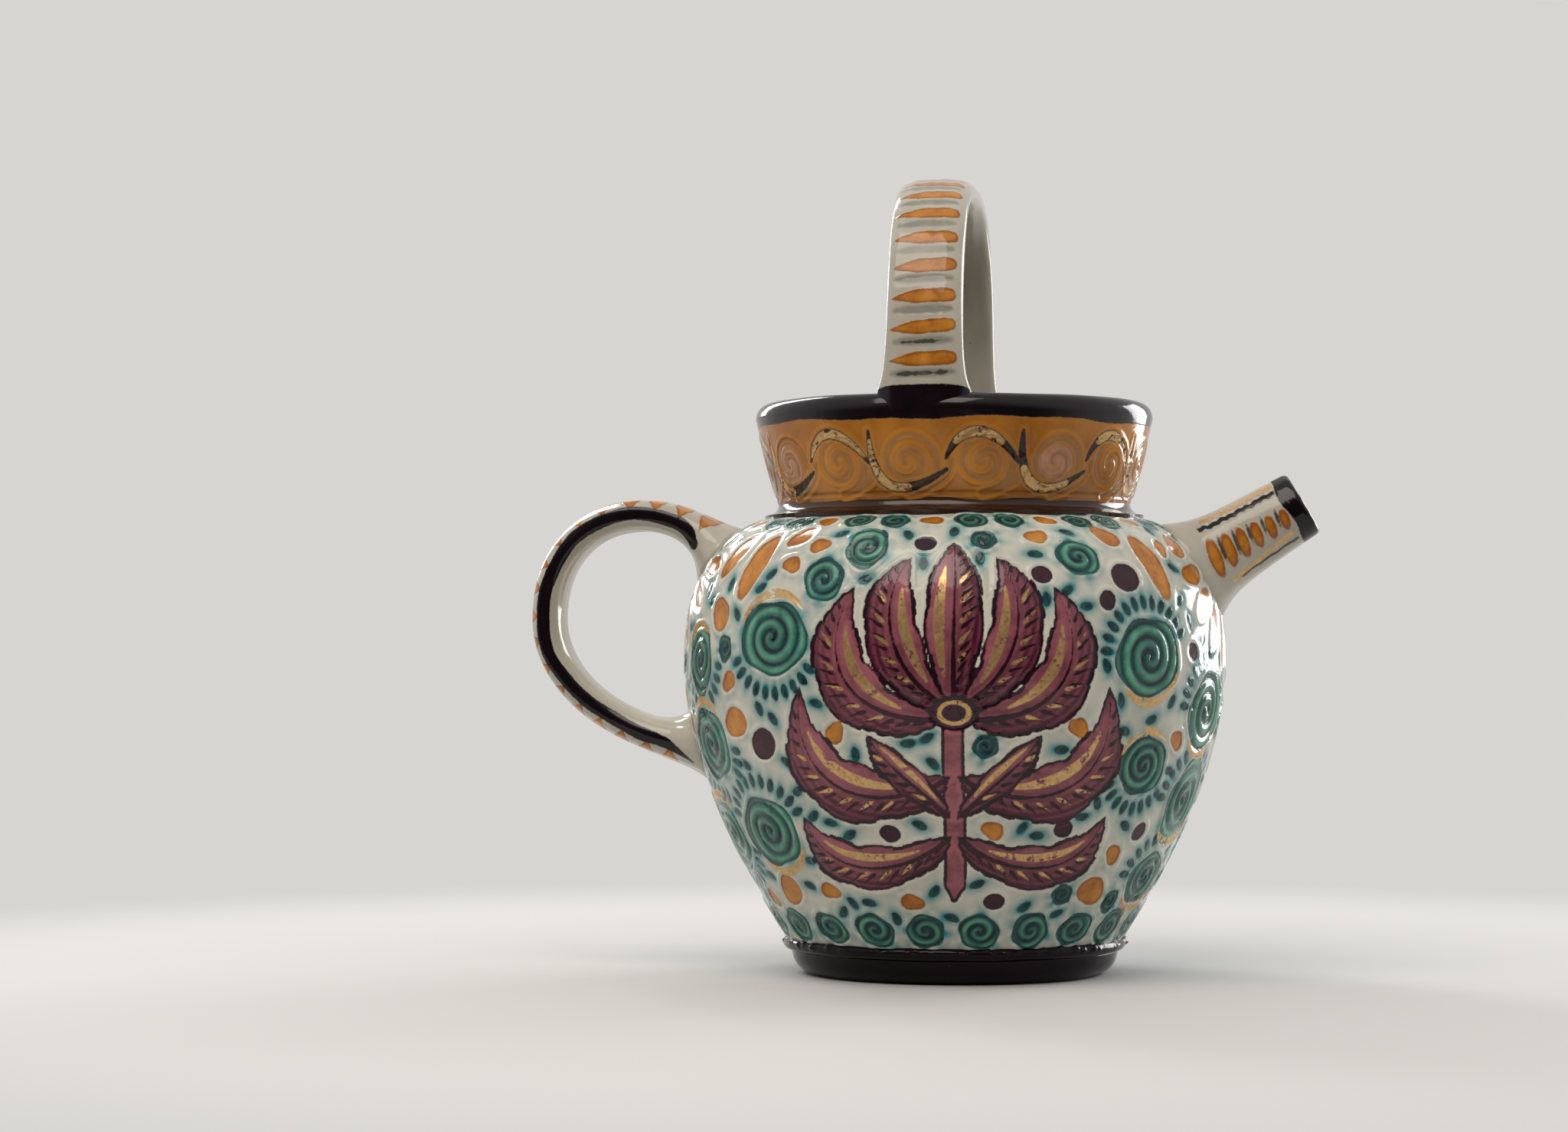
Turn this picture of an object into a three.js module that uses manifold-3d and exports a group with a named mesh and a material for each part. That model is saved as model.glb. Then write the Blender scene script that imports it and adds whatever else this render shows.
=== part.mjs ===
// Earthenware jug: a thrown belly on a base slab, a flared collar, a bail over the mouth,
// an ear-shaped side handle and a tube spout, luted together with slip and seam coils.
// Millimetres, +Z up. The origin is the middle of the flat underside. The spout points
// to +X, the side handle to -X, and the bail spans the mouth from -Y to +Y.

import * as THREE from "three";
import { mergeVertices } from "three/addons/utils/BufferGeometryUtils.js";
import Module from "manifold-3d";

const wasm = await Module();
wasm.setup();

// Driving dimensions: joints
const slipGap = 0.3; // dried slip between two pieces

// Driving dimensions: base slab
const baseHeight = 8;
const baseEdge = 7; // how far its rounded edge turns in to the underside
const floorStep = 1.5; // raised floor that centres the wall

// Driving dimensions: belly. Its heights are above the bottom of its wall.
const footRadius = 53;
const bellyRadius = 88.6;
const widestHeight = 91;
const throatHeight = 139.8;
const throatRadius = 50.5;
const bellyWall = 6.5;
const flankPower = 1.72; // 1 is a straight cone from the foot to the widest ring
const shoulderPower = 2.4; // 2 is an elliptical shoulder, more is squarer

// Driving dimensions: seam coils
const footGroove = 4; // height of the groove that the foot coil is pressed into
const footCoil = 2.5; // radius of the roll
const neckCoilRise = 4.2; // how far it is smoothed up the collar
const neckCoilSpread = 5.4; // and out over the shoulder
const coilEdge = 0.6; // thickness of its smoothed edges

// Driving dimensions: collar
const collarHeight = 36.7;
const collarWall = 6; // at its foot
const collarBulge = 0.6;
const rimRadius = 65.1;
const lipWidth = 9.2;
const lipRise = 5.5; // height of the rounded lip

// Driving dimensions: bail
const bailRise = 72.4; // top of the strap above the lip
const bailSquareness = 2.7; // 2 is an elliptical arch
const bailWidth = 24;
const bailThickness = 9.6;
const bailOffset = -3.4; // towards the side handle
const bailSeat = 2; // how far its feet saddle the lip
const bailFootFlare = 3; // added to each side of a foot
const bailFootSwell = 0.8; // added to its front and back
const bailFlareLength = 6;

// Driving dimensions: side handle
const handleReach = 45.6; // middle of the strap beyond the widest ring
const handleReachRise = 15.6; // height of that point above the widest ring
const handleHighDrop = 10.6; // upper root below the throat
const handleLowDrop = 25.6; // lower root below the widest ring
const handleHighAngle = 55.7; // degrees, rising out of the shoulder
const handleLowAngle = 6.2; // degrees, rising out of the flank
const handleHighPull = 22.4; // how far each end and side keeps its direction
const handleUpPull = 39.8;
const handleDownPull = 23.4;
const handleLowPull = 22.1;
const handleWidth = 24;
const handleThickness = 10.4;
const handleRootFlare = 3; // added to each side of a root
const handleRootSwell = 5; // added above and below
const handleFlareLength = 8;

// Driving dimensions: spout
const spoutDrop = 15; // where its axis leaves the shoulder, below the throat
const spoutSlope = 31; // degrees above level
const spoutLength = 37;
const spoutRootRadius = 13.4;
const spoutTipRadius = 11;
const spoutBore = 7.2; // radius
const spoutLip = 1.6; // rounding of the tip
const spoutRootFlare = 2.2;
const spoutFlareLength = 4.5;

// Facets of round pieces and of the hand-pulled straps
const turnSides = 60;
const flankSteps = 8;
const shoulderSteps = 9;
const innerFlankSteps = 5;
const innerShoulderSteps = 6;
const lipSteps = 8;
const spoutSides = 28;
const spoutSteps = 6;
const strapSides = 16;
const strapStations = 34;
const strapRoundness = 2.7; // exponent of the strap's section, 2 is an ellipse

// Levels that the driving dimensions give
const wallFoot = baseHeight + slipGap;
const widestLevel = wallFoot + widestHeight;
const throatLevel = wallFoot + throatHeight;
const collarFoot = throatLevel + slipGap;
const lipLevel = collarFoot + collarHeight;
const collarFootRadius = throatRadius + collarWall;
const lipMiddle = rimRadius - lipWidth / 2;

// Glazes
const glaze = (color, roughness) => new THREE.MeshStandardMaterial({ color, roughness, metalness: 0 });
const whiteGlaze = () => glaze(0xdcd9cc, 0.18);
const darkGlaze = () => glaze(0x22161d, 0.12);
const amberGlaze = () => glaze(0xb06f24, 0.2);

// Solids

function solidOf(geometry) {
  const bare = geometry.clone();
  bare.deleteAttribute("normal");
  bare.deleteAttribute("uv");
  const merged = mergeVertices(bare, 1e-3);
  const vertProperties = merged.attributes.position.array;
  const triVerts = new Uint32Array(merged.index.array);
  return new wasm.Manifold(new wasm.Mesh({ numProp: 3, vertProperties, triVerts }));
}

function geometryOf(solid) {
  const { vertProperties, triVerts } = solid.getMesh();
  const geometry = new THREE.BufferGeometry();
  geometry.setAttribute("position", new THREE.BufferAttribute(vertProperties, 3));
  geometry.setIndex(new THREE.BufferAttribute(triVerts, 1));
  geometry.computeVertexNormals();
  return geometry;
}

function piece(name, solid, material) {
  const mesh = new THREE.Mesh(geometryOf(solid), material);
  mesh.name = name;
  return mesh;
}

// A profile of (radius, height) points turned about +Z. It runs up the outside and down
// the inside, and either closes on itself or starts and ends on the axis.
function turned(profile, sides = turnSides) {
  const closed = profile[0].x > 0 ? [...profile, profile[0]] : profile;
  return solidOf(new THREE.LatheGeometry(closed, sides).rotateX(Math.PI / 2));
}

// A line of profile points moved sideways, away from the axis where distance is positive.
function offsetLine(line, distance) {
  const sideOf = (a, b) => new THREE.Vector2(b.y - a.y, a.x - b.x).normalize();
  return line.map((point, i) => {
    const before = i > 0 ? sideOf(line[i - 1], point) : sideOf(point, line[1]);
    const after = i < line.length - 1 ? sideOf(point, line[i + 1]) : before;
    const side = before.clone().add(after).normalize();
    return point.clone().addScaledVector(side, distance / side.dot(before));
  });
}

// A strap along a path in a vertical plane: a rounded section at each station, with its
// width along `across`, and both ends capped.
function strap(path, across, sizeAt) {
  const positions = [];
  const indices = [];
  const power = 2 / strapRoundness;
  const rounded = (value) => Math.sign(value) * Math.abs(value) ** power;
  const addPoint = (point) => positions.push(point.x, point.y, point.z);
  for (let station = 0; station <= strapStations; station++) {
    const along = station / strapStations;
    const middle = path.getPointAt(along);
    const through = path.getTangentAt(along).cross(across).normalize();
    const { halfThickness, halfWidth } = sizeAt(along);
    for (let side = 0; side < strapSides; side++) {
      const turn = (side / strapSides) * 2 * Math.PI;
      const point = middle.clone();
      point.addScaledVector(through, halfThickness * rounded(Math.cos(turn)));
      point.addScaledVector(across, halfWidth * rounded(Math.sin(turn)));
      addPoint(point);
    }
  }
  for (let station = 0; station < strapStations; station++) {
    for (let side = 0; side < strapSides; side++) {
      const a = station * strapSides + side;
      const b = station * strapSides + ((side + 1) % strapSides);
      indices.push(a, a + strapSides, b, b, a + strapSides, b + strapSides);
    }
  }
  const lastRing = strapStations * strapSides;
  const startCap = lastRing + strapSides;
  addPoint(path.getPointAt(0));
  addPoint(path.getPointAt(1));
  for (let side = 0; side < strapSides; side++) {
    const next = (side + 1) % strapSides;
    indices.push(startCap, side, next);
    indices.push(startCap + 1, lastRing + next, lastRing + side);
  }
  const geometry = new THREE.BufferGeometry();
  geometry.setAttribute("position", new THREE.Float32BufferAttribute(positions, 3));
  geometry.setIndex(indices);
  return solidOf(geometry);
}

// Belly outline, from the bottom of its wall up to the throat

function flankPoint(share) {
  const inward = (bellyRadius - footRadius) * (1 - share) ** flankPower;
  return new THREE.Vector2(bellyRadius - inward, wallFoot + widestHeight * share);
}

// The shoulder is a superellipse that comes level just inside the neck coil's edge.
const seatRadius = collarFootRadius + neckCoilSpread / 2;
const shoulderSpan = bellyRadius - throatRadius;
const shoulderEnd = Math.acos(((seatRadius - throatRadius) / shoulderSpan) ** (shoulderPower / 2));
const shoulderRise = (throatLevel - widestLevel) / Math.sin(shoulderEnd) ** (2 / shoulderPower);

function shoulderPoint(share) {
  const turn = shoulderEnd * share;
  const radius = throatRadius + shoulderSpan * Math.cos(turn) ** (2 / shoulderPower);
  const height = widestLevel + shoulderRise * Math.sin(turn) ** (2 / shoulderPower);
  return new THREE.Vector2(radius, height);
}

function bellyOutline(stepsUp, stepsOver) {
  const line = [];
  for (let i = 0; i < stepsUp; i++) line.push(flankPoint(i / stepsUp));
  for (let i = 0; i <= stepsOver; i++) line.push(shoulderPoint(i / stepsOver));
  return line;
}

// The outer face of the wall, with the bottom edge cut back into the foot coil's groove
function wallFace() {
  const line = bellyOutline(flankSteps, shoulderSteps);
  const grooveTop = flankPoint(footGroove / widestHeight);
  const grooveFoot = new THREE.Vector2(footRadius - footGroove / 2, wallFoot);
  return [grooveFoot, grooveTop, ...line.filter((point) => point.y > grooveTop.y + 1)];
}

// The point and the outward slope of the outline at a level
function wallAt(level) {
  const line = bellyOutline(60, 120);
  const next = line.findIndex((point) => point.y >= level);
  const [low, high] = [line[next - 1], line[next]];
  return low.clone().lerp(high, (level - low.y) / (high.y - low.y));
}

// Everything inside the wall's outer face, grown by the slip joint, to cut what is luted on
function bellyEnvelope() {
  const face = offsetLine(wallFace(), slipGap);
  const foot = new THREE.Vector2(0, face[0].y);
  const top = new THREE.Vector2(0, throatLevel + slipGap);
  const edge = new THREE.Vector2(face.at(-1).x, throatLevel + slipGap);
  return turned([foot, ...face, edge, top]);
}

const innerFace = offsetLine(bellyOutline(innerFlankSteps, innerShoulderSteps), -bellyWall);
const innerFootRadius = innerFace[0].x;

// Spout frame: origin where its axis leaves the shoulder, +Z out along the bore
const spoutFrame = new THREE.Group();
const spoutLevel = throatLevel - spoutDrop;
spoutFrame.position.set(wallAt(spoutLevel).x, 0, spoutLevel);
spoutFrame.rotation.y = THREE.MathUtils.degToRad(90 - spoutSlope);
spoutFrame.updateMatrixWorld(true);
const inSpoutFrame = spoutFrame.matrixWorld.clone().invert();
const spoutSink = bellyWall + spoutRootRadius + spoutRootFlare; // start of the tube inside

function bore() {
  const length = spoutLength + spoutSink + 2 * spoutLip;
  const rod = new THREE.CylinderGeometry(spoutBore, spoutBore, length, spoutSides);
  rod.rotateX(Math.PI / 2);
  rod.translate(0, 0, length / 2 - spoutSink);
  return solidOf(rod);
}

// Base slab: flat underside, rounded edge, and a raised floor inside the wall
function baseSlab() {
  const underRadius = footRadius - baseEdge;
  const profile = [new THREE.Vector2(0, 0)];
  const edgeSteps = 5;
  for (let i = 0; i <= edgeSteps; i++) {
    const turn = (i / edgeSteps) * (Math.PI / 2);
    const radius = underRadius + baseEdge * Math.sin(turn);
    profile.push(new THREE.Vector2(radius, baseHeight * (1 - Math.cos(turn))));
  }
  const floorRadius = innerFootRadius - slipGap;
  const floorLevel = baseHeight + floorStep;
  profile.push(new THREE.Vector2(floorRadius, baseHeight));
  profile.push(new THREE.Vector2(floorRadius, floorLevel));
  profile.push(new THREE.Vector2(0, floorLevel));
  return piece("base_slab", turned(profile), darkGlaze());
}

// Foot seam coil: a roll pressed into the groove between the slab and the wall
function footSeamCoil() {
  const middle = new THREE.Vector2(footRadius + footGroove / 8, baseHeight + footGroove / 2);
  const section = [];
  const sectionSides = 9;
  for (let i = 0; i < sectionSides; i++) {
    const turn = (i / sectionSides) * 2 * Math.PI;
    const arm = new THREE.Vector2(Math.cos(turn), Math.sin(turn)).multiplyScalar(footCoil);
    section.push(middle.clone().add(arm));
  }
  const slabTop = new THREE.CylinderGeometry(footRadius, footRadius, baseHeight, turnSides);
  slabTop.rotateX(Math.PI / 2);
  slabTop.translate(0, 0, slipGap + baseHeight / 2);
  const roll = turned(section).subtract(bellyEnvelope()).subtract(solidOf(slabTop));
  return piece("foot_seam_coil", roll, darkGlaze());
}

// Belly wall: thrown hollow, open below for the slab and above for the collar
function bellyWallPiece() {
  const innerUp = innerFace.filter((point) => point.x > throatRadius + 1);
  const throatUnder = throatLevel - bellyWall;
  const profile = [
    ...wallFace(),
    new THREE.Vector2(throatRadius, throatLevel),
    new THREE.Vector2(throatRadius, throatUnder),
    ...innerUp.reverse().filter((point) => point.y < throatUnder),
    new THREE.Vector2(innerFootRadius, wallFoot),
  ];
  const outlet = bore().transform(spoutFrame.matrixWorld.elements);
  return piece("belly_wall", turned(profile).subtract(outlet), whiteGlaze());
}

// Collar: flared wall under a rounded lip. `grow` thickens it to cut what seats on it.
function collarSolid(grow = 0) {
  const lipFoot = lipLevel - lipRise;
  const outerFoot = new THREE.Vector2(collarFootRadius + grow, collarFoot - grow);
  const outerTop = new THREE.Vector2(rimRadius + grow, lipFoot);
  const bend = outerFoot.clone().lerp(outerTop, 0.5);
  bend.x += 2 * collarBulge;
  const profile = new THREE.QuadraticBezierCurve(outerFoot, bend, outerTop).getPoints(4);
  for (let i = 1; i < lipSteps; i++) {
    const turn = (i / lipSteps) * Math.PI;
    const radius = lipMiddle + (lipWidth / 2 + grow) * Math.cos(turn);
    profile.push(new THREE.Vector2(radius, lipFoot + (lipRise + grow) * Math.sin(turn)));
  }
  profile.push(new THREE.Vector2(rimRadius - lipWidth - grow, lipFoot));
  profile.push(new THREE.Vector2(throatRadius - grow, collarFoot - grow));
  return turned(profile);
}

// Neck seam coil: smoothed into a hollow fillet between the collar and the shoulder
function neckSeamCoil() {
  const riseLevel = collarFoot + neckCoilRise;
  const flare = (rimRadius - collarFootRadius) / (collarHeight - lipRise);
  const topRadius = collarFootRadius + flare * neckCoilRise + slipGap + coilEdge + collarBulge / 2;
  const endRadius = collarFootRadius + neckCoilSpread;
  const endLevel = wallLevelAt(endRadius) + slipGap + coilEdge;
  const hollow = new THREE.QuadraticBezierCurve(
    new THREE.Vector2(endRadius, endLevel),
    new THREE.Vector2(topRadius + coilEdge, endLevel + coilEdge),
    new THREE.Vector2(topRadius, riseLevel),
  );
  const profile = [
    new THREE.Vector2(collarFootRadius - collarWall / 2, throatLevel - neckCoilRise),
    new THREE.Vector2(endRadius, throatLevel - neckCoilRise),
    ...hollow.getPoints(4),
    new THREE.Vector2(collarFootRadius - collarWall / 2, riseLevel),
  ];
  const ring = turned(profile).subtract(bellyEnvelope()).subtract(collarSolid(slipGap));
  return piece("neck_seam_coil", ring, darkGlaze());
}

function wallLevelAt(radius) {
  const line = bellyOutline(1, 200);
  const next = line.findIndex((point, i) => i > 1 && point.x <= radius);
  return next < 0 ? throatLevel : line[next].y;
}

// How far a foot or root still flares at a distance from what it stands on
const flareAt = (distance, length) => Math.exp(-Math.max(distance, 0) / length);

// Bail: a squared arch whose feet saddle the lip at the front and the back
class BailArch extends THREE.Curve {
  getPoint(share) {
    const turn = Math.PI * share;
    const power = 2 / bailSquareness;
    const reach = -Math.sign(Math.cos(turn)) * Math.abs(Math.cos(turn)) ** power;
    const rise = bailRise - bailThickness / 2 + bailSeat;
    const height = rise * Math.abs(Math.sin(turn)) ** power - bailSeat;
    return new THREE.Vector3(0, lipMiddle * reach, height);
  }
}

function bailHandle() {
  const frame = new THREE.Group();
  frame.position.set(bailOffset, 0, lipLevel);
  frame.updateMatrixWorld(true);
  const arch = new BailArch();
  const length = arch.getLength();
  const sizeAt = (along) => {
    const fromFoot = Math.min(along, 1 - along) * length - bailSeat;
    const flare = flareAt(fromFoot, bailFlareLength);
    return {
      halfThickness: bailThickness / 2 + bailFootSwell * flare,
      halfWidth: bailWidth / 2 + bailFootFlare * flare,
    };
  };
  const lip = collarSolid(slipGap).transform(frame.matrixWorld.clone().invert().elements);
  const solid = strap(arch, new THREE.Vector3(1, 0, 0), sizeAt).subtract(lip);
  frame.add(piece("bail_handle", solid, whiteGlaze()));
  return frame;
}

// Side handle: an ear-shaped strap from the shoulder round to the flank
function sideHandle() {
  const rootSink = handleThickness + handleRootSwell; // how far each end starts inside
  const at = (radius, level) => new THREE.Vector3(-radius, 0, level);
  const high = wallAt(throatLevel - handleHighDrop);
  const low = wallAt(widestLevel - handleLowDrop);
  const highRoot = at(high.x, high.y);
  const lowRoot = at(low.x, low.y);
  const side = at(bellyRadius + handleReach, widestLevel + handleReachRise);
  const leaving = (degrees) => {
    const turn = THREE.MathUtils.degToRad(degrees);
    return new THREE.Vector3(-Math.cos(turn), 0, Math.sin(turn));
  };
  const highWay = leaving(handleHighAngle);
  const lowWay = leaving(handleLowAngle);
  const up = new THREE.Vector3(0, 0, 1);
  const along = (point, way, distance) => point.clone().addScaledVector(way, distance);
  const path = new THREE.CurvePath();
  path.add(new THREE.LineCurve3(along(highRoot, highWay, -rootSink), highRoot));
  const highBend = [along(highRoot, highWay, handleHighPull), along(side, up, handleUpPull)];
  path.add(new THREE.CubicBezierCurve3(highRoot, ...highBend, side));
  const lowBend = [along(side, up, -handleDownPull), along(lowRoot, lowWay, handleLowPull)];
  path.add(new THREE.CubicBezierCurve3(side, ...lowBend, lowRoot));
  path.add(new THREE.LineCurve3(lowRoot, along(lowRoot, lowWay, -rootSink)));
  const length = path.getLength();
  const sizeAt = (share) => {
    const fromRoot = Math.min(share, 1 - share) * length - rootSink;
    const flare = flareAt(fromRoot, handleFlareLength);
    return {
      halfThickness: handleThickness / 2 + handleRootSwell * flare,
      halfWidth: handleWidth / 2 + handleRootFlare * flare,
    };
  };
  const solid = strap(path, new THREE.Vector3(0, 1, 0), sizeAt).subtract(bellyEnvelope());
  return piece("side_handle", solid, whiteGlaze());
}

// Spout: a tapered, bored tube whose flared root is fitted to the shoulder
function spout() {
  const profile = [new THREE.Vector2(0, -spoutSink)];
  const tubeEnd = spoutLength - spoutLip;
  const taper = (spoutRootRadius - spoutTipRadius) / spoutLength;
  profile.push(new THREE.Vector2(spoutRootRadius + spoutRootFlare, -spoutSink));
  for (let i = 0; i <= spoutSteps; i++) {
    const level = tubeEnd * (i / spoutSteps) ** 2; // closer steps where the root flares
    const flare = spoutRootFlare * flareAt(level, spoutFlareLength);
    profile.push(new THREE.Vector2(spoutRootRadius - taper * level + flare, level));
  }
  const tipSteps = 3;
  for (let i = 1; i <= tipSteps; i++) {
    const turn = (i / tipSteps) * (Math.PI / 2);
    const radius = spoutTipRadius - spoutLip * (1 - Math.cos(turn));
    profile.push(new THREE.Vector2(radius, tubeEnd + spoutLip * Math.sin(turn)));
  }
  profile.push(new THREE.Vector2(0, spoutLength));
  const shoulder = bellyEnvelope().transform(inSpoutFrame.elements);
  const tube = turned(profile, spoutSides).subtract(bore()).subtract(shoulder);
  spoutFrame.add(piece("spout", tube, whiteGlaze()));
  return spoutFrame;
}

const jug = new THREE.Group();
jug.name = "earthenware_jug";
jug.add(baseSlab(), footSeamCoil(), bellyWallPiece(), neckSeamCoil());
jug.add(piece("collar", collarSolid(), amberGlaze()));
jug.add(bailHandle(), sideHandle(), spout());

export default jug;
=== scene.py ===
"""Looks of the earthenware jug: turned and pulled clay under painted, glossy glazes.

Shapes and ornament are worked out in millimetres and written to the meshes in metres.
A painted surface carries one number per vertex for each glaze: the distance in millimetres
to the edge of that glaze, below zero inside it. The materials turn these into colour.
"""

import math
import random

import bmesh
import bpy
import numpy as np
from mathutils import Matrix, Vector


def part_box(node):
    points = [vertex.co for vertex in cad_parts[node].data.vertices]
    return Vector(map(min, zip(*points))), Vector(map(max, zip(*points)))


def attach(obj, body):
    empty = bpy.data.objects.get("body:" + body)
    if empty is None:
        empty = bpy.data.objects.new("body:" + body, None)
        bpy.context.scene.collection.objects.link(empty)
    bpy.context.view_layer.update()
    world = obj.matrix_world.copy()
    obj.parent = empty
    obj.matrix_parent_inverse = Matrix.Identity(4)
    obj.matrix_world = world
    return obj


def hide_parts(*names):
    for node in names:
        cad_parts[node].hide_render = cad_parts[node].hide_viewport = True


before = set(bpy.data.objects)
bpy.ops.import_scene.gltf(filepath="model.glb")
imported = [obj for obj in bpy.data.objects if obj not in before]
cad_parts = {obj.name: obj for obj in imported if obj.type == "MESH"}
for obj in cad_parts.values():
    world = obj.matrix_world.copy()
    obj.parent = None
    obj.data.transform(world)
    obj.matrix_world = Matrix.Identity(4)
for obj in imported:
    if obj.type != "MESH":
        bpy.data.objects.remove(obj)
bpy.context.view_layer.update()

MM = 0.001
BARE = 9.0  # distance written where a glaze is nowhere near
HIDDEN = -999.0  # place along the outline of a face that carries no ornament


# Sizes in millimetres, from the frame where a node's box gives them

def box_mm(node):
    """A node's lowest and highest corners in millimetres."""
    low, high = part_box(node)
    return np.array(low) / MM, np.array(high) / MM


base_high = box_mm("base_slab")[1]
belly_low, belly_high = box_mm("belly_wall")
ring_low, ring_high = box_mm("neck_seam_coil")
collar_low, collar_high = box_mm("collar")
bail_low, bail_high = box_mm("bail_handle")

foot_radius = base_high[0]
foot_height = 8.0
foot_edge = 7.0
floor_level = base_high[2]
floor_radius = 46.6  # of the raised floor, inside the wall
foot_coil_middle = 53.5  # radius of the ring that the roll makes
foot_coil_level = 10.0
foot_coil_radius = 2.3
ring_throat = 57.4  # where the hollow of the neck ring ends on the collar
ring_inside = 55.0

belly_radius = belly_high[0]
belly_wall = 6.5
wall_foot = belly_low[2]
widest_level = wall_foot + 91
throat_level = belly_high[2]
throat_radius = 50.5
seat_radius = 59.2
flank_power = 1.72
shoulder_power = 2.4
relief_room = 0.8  # the ground lies this far inside the wall, so that raised rims reach it

collar_foot = collar_low[2]
lip_level = collar_high[2]
rim_radius = collar_high[0]
collar_foot_radius = 56.5
collar_bulge = 0.6
collar_room = 0.45  # as relief_room, on the collar
lip_half = 4.6
lip_rise = 5.5
lip_middle = rim_radius - lip_half

strap_power = 2 / 2.7
bail_shift = (bail_low[0] + bail_high[0]) / 2
bail_half_width = 12.0
bail_half_thickness = 4.8
bail_seat = 6.0
bail_flare_length = 6.0
bail_foot_flare = 0.24  # share by which a foot widens
bail_foot_squeeze = 0.10  # share by which it thins
handle_half_width = 12.0
handle_half_thickness = 5.2
handle_sink = 11.4
handle_reach = 45.6  # the strap's far point, beyond the widest ring
handle_reach_rise = 15.6  # and above it
handle_high_drop = 10.6  # the upper root below the throat
handle_low_drop = 25.6  # the lower root below the widest ring
handle_high_angle = 55.7  # degrees above level where a root leaves the wall
handle_low_angle = 6.2
handle_high_pull = 22.4  # how far each end and side keeps its direction
handle_up_pull = 39.8
handle_down_pull = 23.4
handle_low_pull = 22.1
strap_room = 0.15  # as relief_room, on the straps and the spout
wall_seat = 4.5  # how deep the roots go into the wall, measured level
handle_root_spread = 6.0  # how far a root's fillet grows at the wall
handle_root_reach = 6.5  # and the distance over which it fades
spout_root_spread = 4.5
spout_root_reach = 4.0

spout_slope = math.radians(31)
spout_length = 37.0
spout_root_radius = 13.4
spout_tip_radius = 11.0
spout_bore = 7.2
spout_lip = 1.6  # rounding of the tip
spout_mouth = 1.2  # rounding of the bore's edge
spout_sink = 14.0
spout_level = throat_level - 15
front = math.radians(-84.5)  # the side of the belly that the camera sees


# Outlines and curves

class Outline:
    """A turned outline of (radius, height) points, measured along its own length."""

    def __init__(self, points):
        self.points = np.array(points, float)
        steps = np.hypot(*np.diff(self.points, axis=0).T)
        self.along = np.concatenate([[0], np.cumsum(steps)])
        self.length = self.along[-1]

    def at(self, along):
        radius = np.interp(along, self.along, self.points[:, 0])
        height = np.interp(along, self.along, self.points[:, 1])
        return radius, height

    def normal(self, along):
        """Outward, for an outline that climbs the outside."""
        reach = 0.6
        high = self.at(np.minimum(along + reach, self.length))
        low = self.at(np.maximum(along - reach, 0))
        across, up = high[0] - low[0], high[1] - low[1]
        size = np.hypot(across, up)
        return up / size, -across / size

    def normals(self, along, turn):
        """Outward, at points round the turned surface."""
        out, up = self.normal(along)
        return np.column_stack([out * np.cos(turn), out * np.sin(turn), up])

    def inset(self, along, depth):
        radius, height = self.at(along)
        out, up = self.normal(along)
        return radius - depth * out, height - depth * up

    def level(self, height):
        """The place along the outline where it first reaches a height."""
        return float(np.interp(height, self.points[:, 1], self.along))


def bezier(points, steps):
    """Points along a Bezier curve of any degree."""
    share = np.linspace(0, 1, steps)[:, None]
    degree = len(points) - 1
    parts = [
        math.comb(degree, i) * share**i * (1 - share) ** (degree - i) * np.array(point, float)
        for i, point in enumerate(points)
    ]
    return sum(parts)


def belly_outline():
    share = np.linspace(0, 1, 300)
    swell = belly_radius - foot_radius
    flank_radius = belly_radius - swell * (1 - share) ** flank_power
    flank_level = wall_foot + (widest_level - wall_foot) * share
    power = 2 / shoulder_power
    span = belly_radius - throat_radius
    end = math.acos(((seat_radius - throat_radius) / span) ** (1 / power))
    rise = (throat_level - widest_level) / math.sin(end) ** power
    turn = end * share[1:]
    shoulder_radius = throat_radius + span * np.cos(turn) ** power
    shoulder_level = widest_level + rise * np.sin(turn) ** power
    radius = np.concatenate([flank_radius, shoulder_radius])
    level = np.concatenate([flank_level, shoulder_level])
    return Outline(np.stack([radius, level], axis=1))


def collar_outline():
    """Up the outside, over the lip and down the inside."""
    lip_foot = lip_level - lip_rise
    middle = ((collar_foot_radius + rim_radius) / 2 + 2 * collar_bulge, (collar_foot + lip_foot) / 2)
    outside = bezier([(collar_foot_radius, collar_foot), middle, (rim_radius, lip_foot)], 60)
    turn = np.linspace(0, math.pi, 60)[1:]
    lip = np.stack([lip_middle + lip_half * np.cos(turn), lip_foot + lip_rise * np.sin(turn)], axis=1)
    inside = np.array([[throat_radius, collar_foot]])
    whole = Outline(np.concatenate([outside, lip, inside]))
    return whole, whole.along[len(outside) - 1], whole.along[-2]


belly = belly_outline()
collar, collar_outside, lip_over = collar_outline()


def wall_at(level):
    """The belly's radius at a level."""
    return np.interp(level, belly.points[:, 1], belly.points[:, 0])


spout_root = Matrix.Translation((wall_at(spout_level) * MM, 0, spout_level * MM))
spout_tilt = spout_root @ Matrix.Rotation(math.pi / 2 - spout_slope, 4, "Y")


# Meshes

def finished(shape, name):
    """Turns a bmesh into a piece of the jug."""
    mesh = bpy.data.meshes.new(name)
    shape.to_mesh(mesh)
    shape.free()
    mesh.shade_smooth()
    piece = bpy.data.objects.new(name, mesh)
    bpy.context.collection.objects.link(piece)
    return piece


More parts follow.
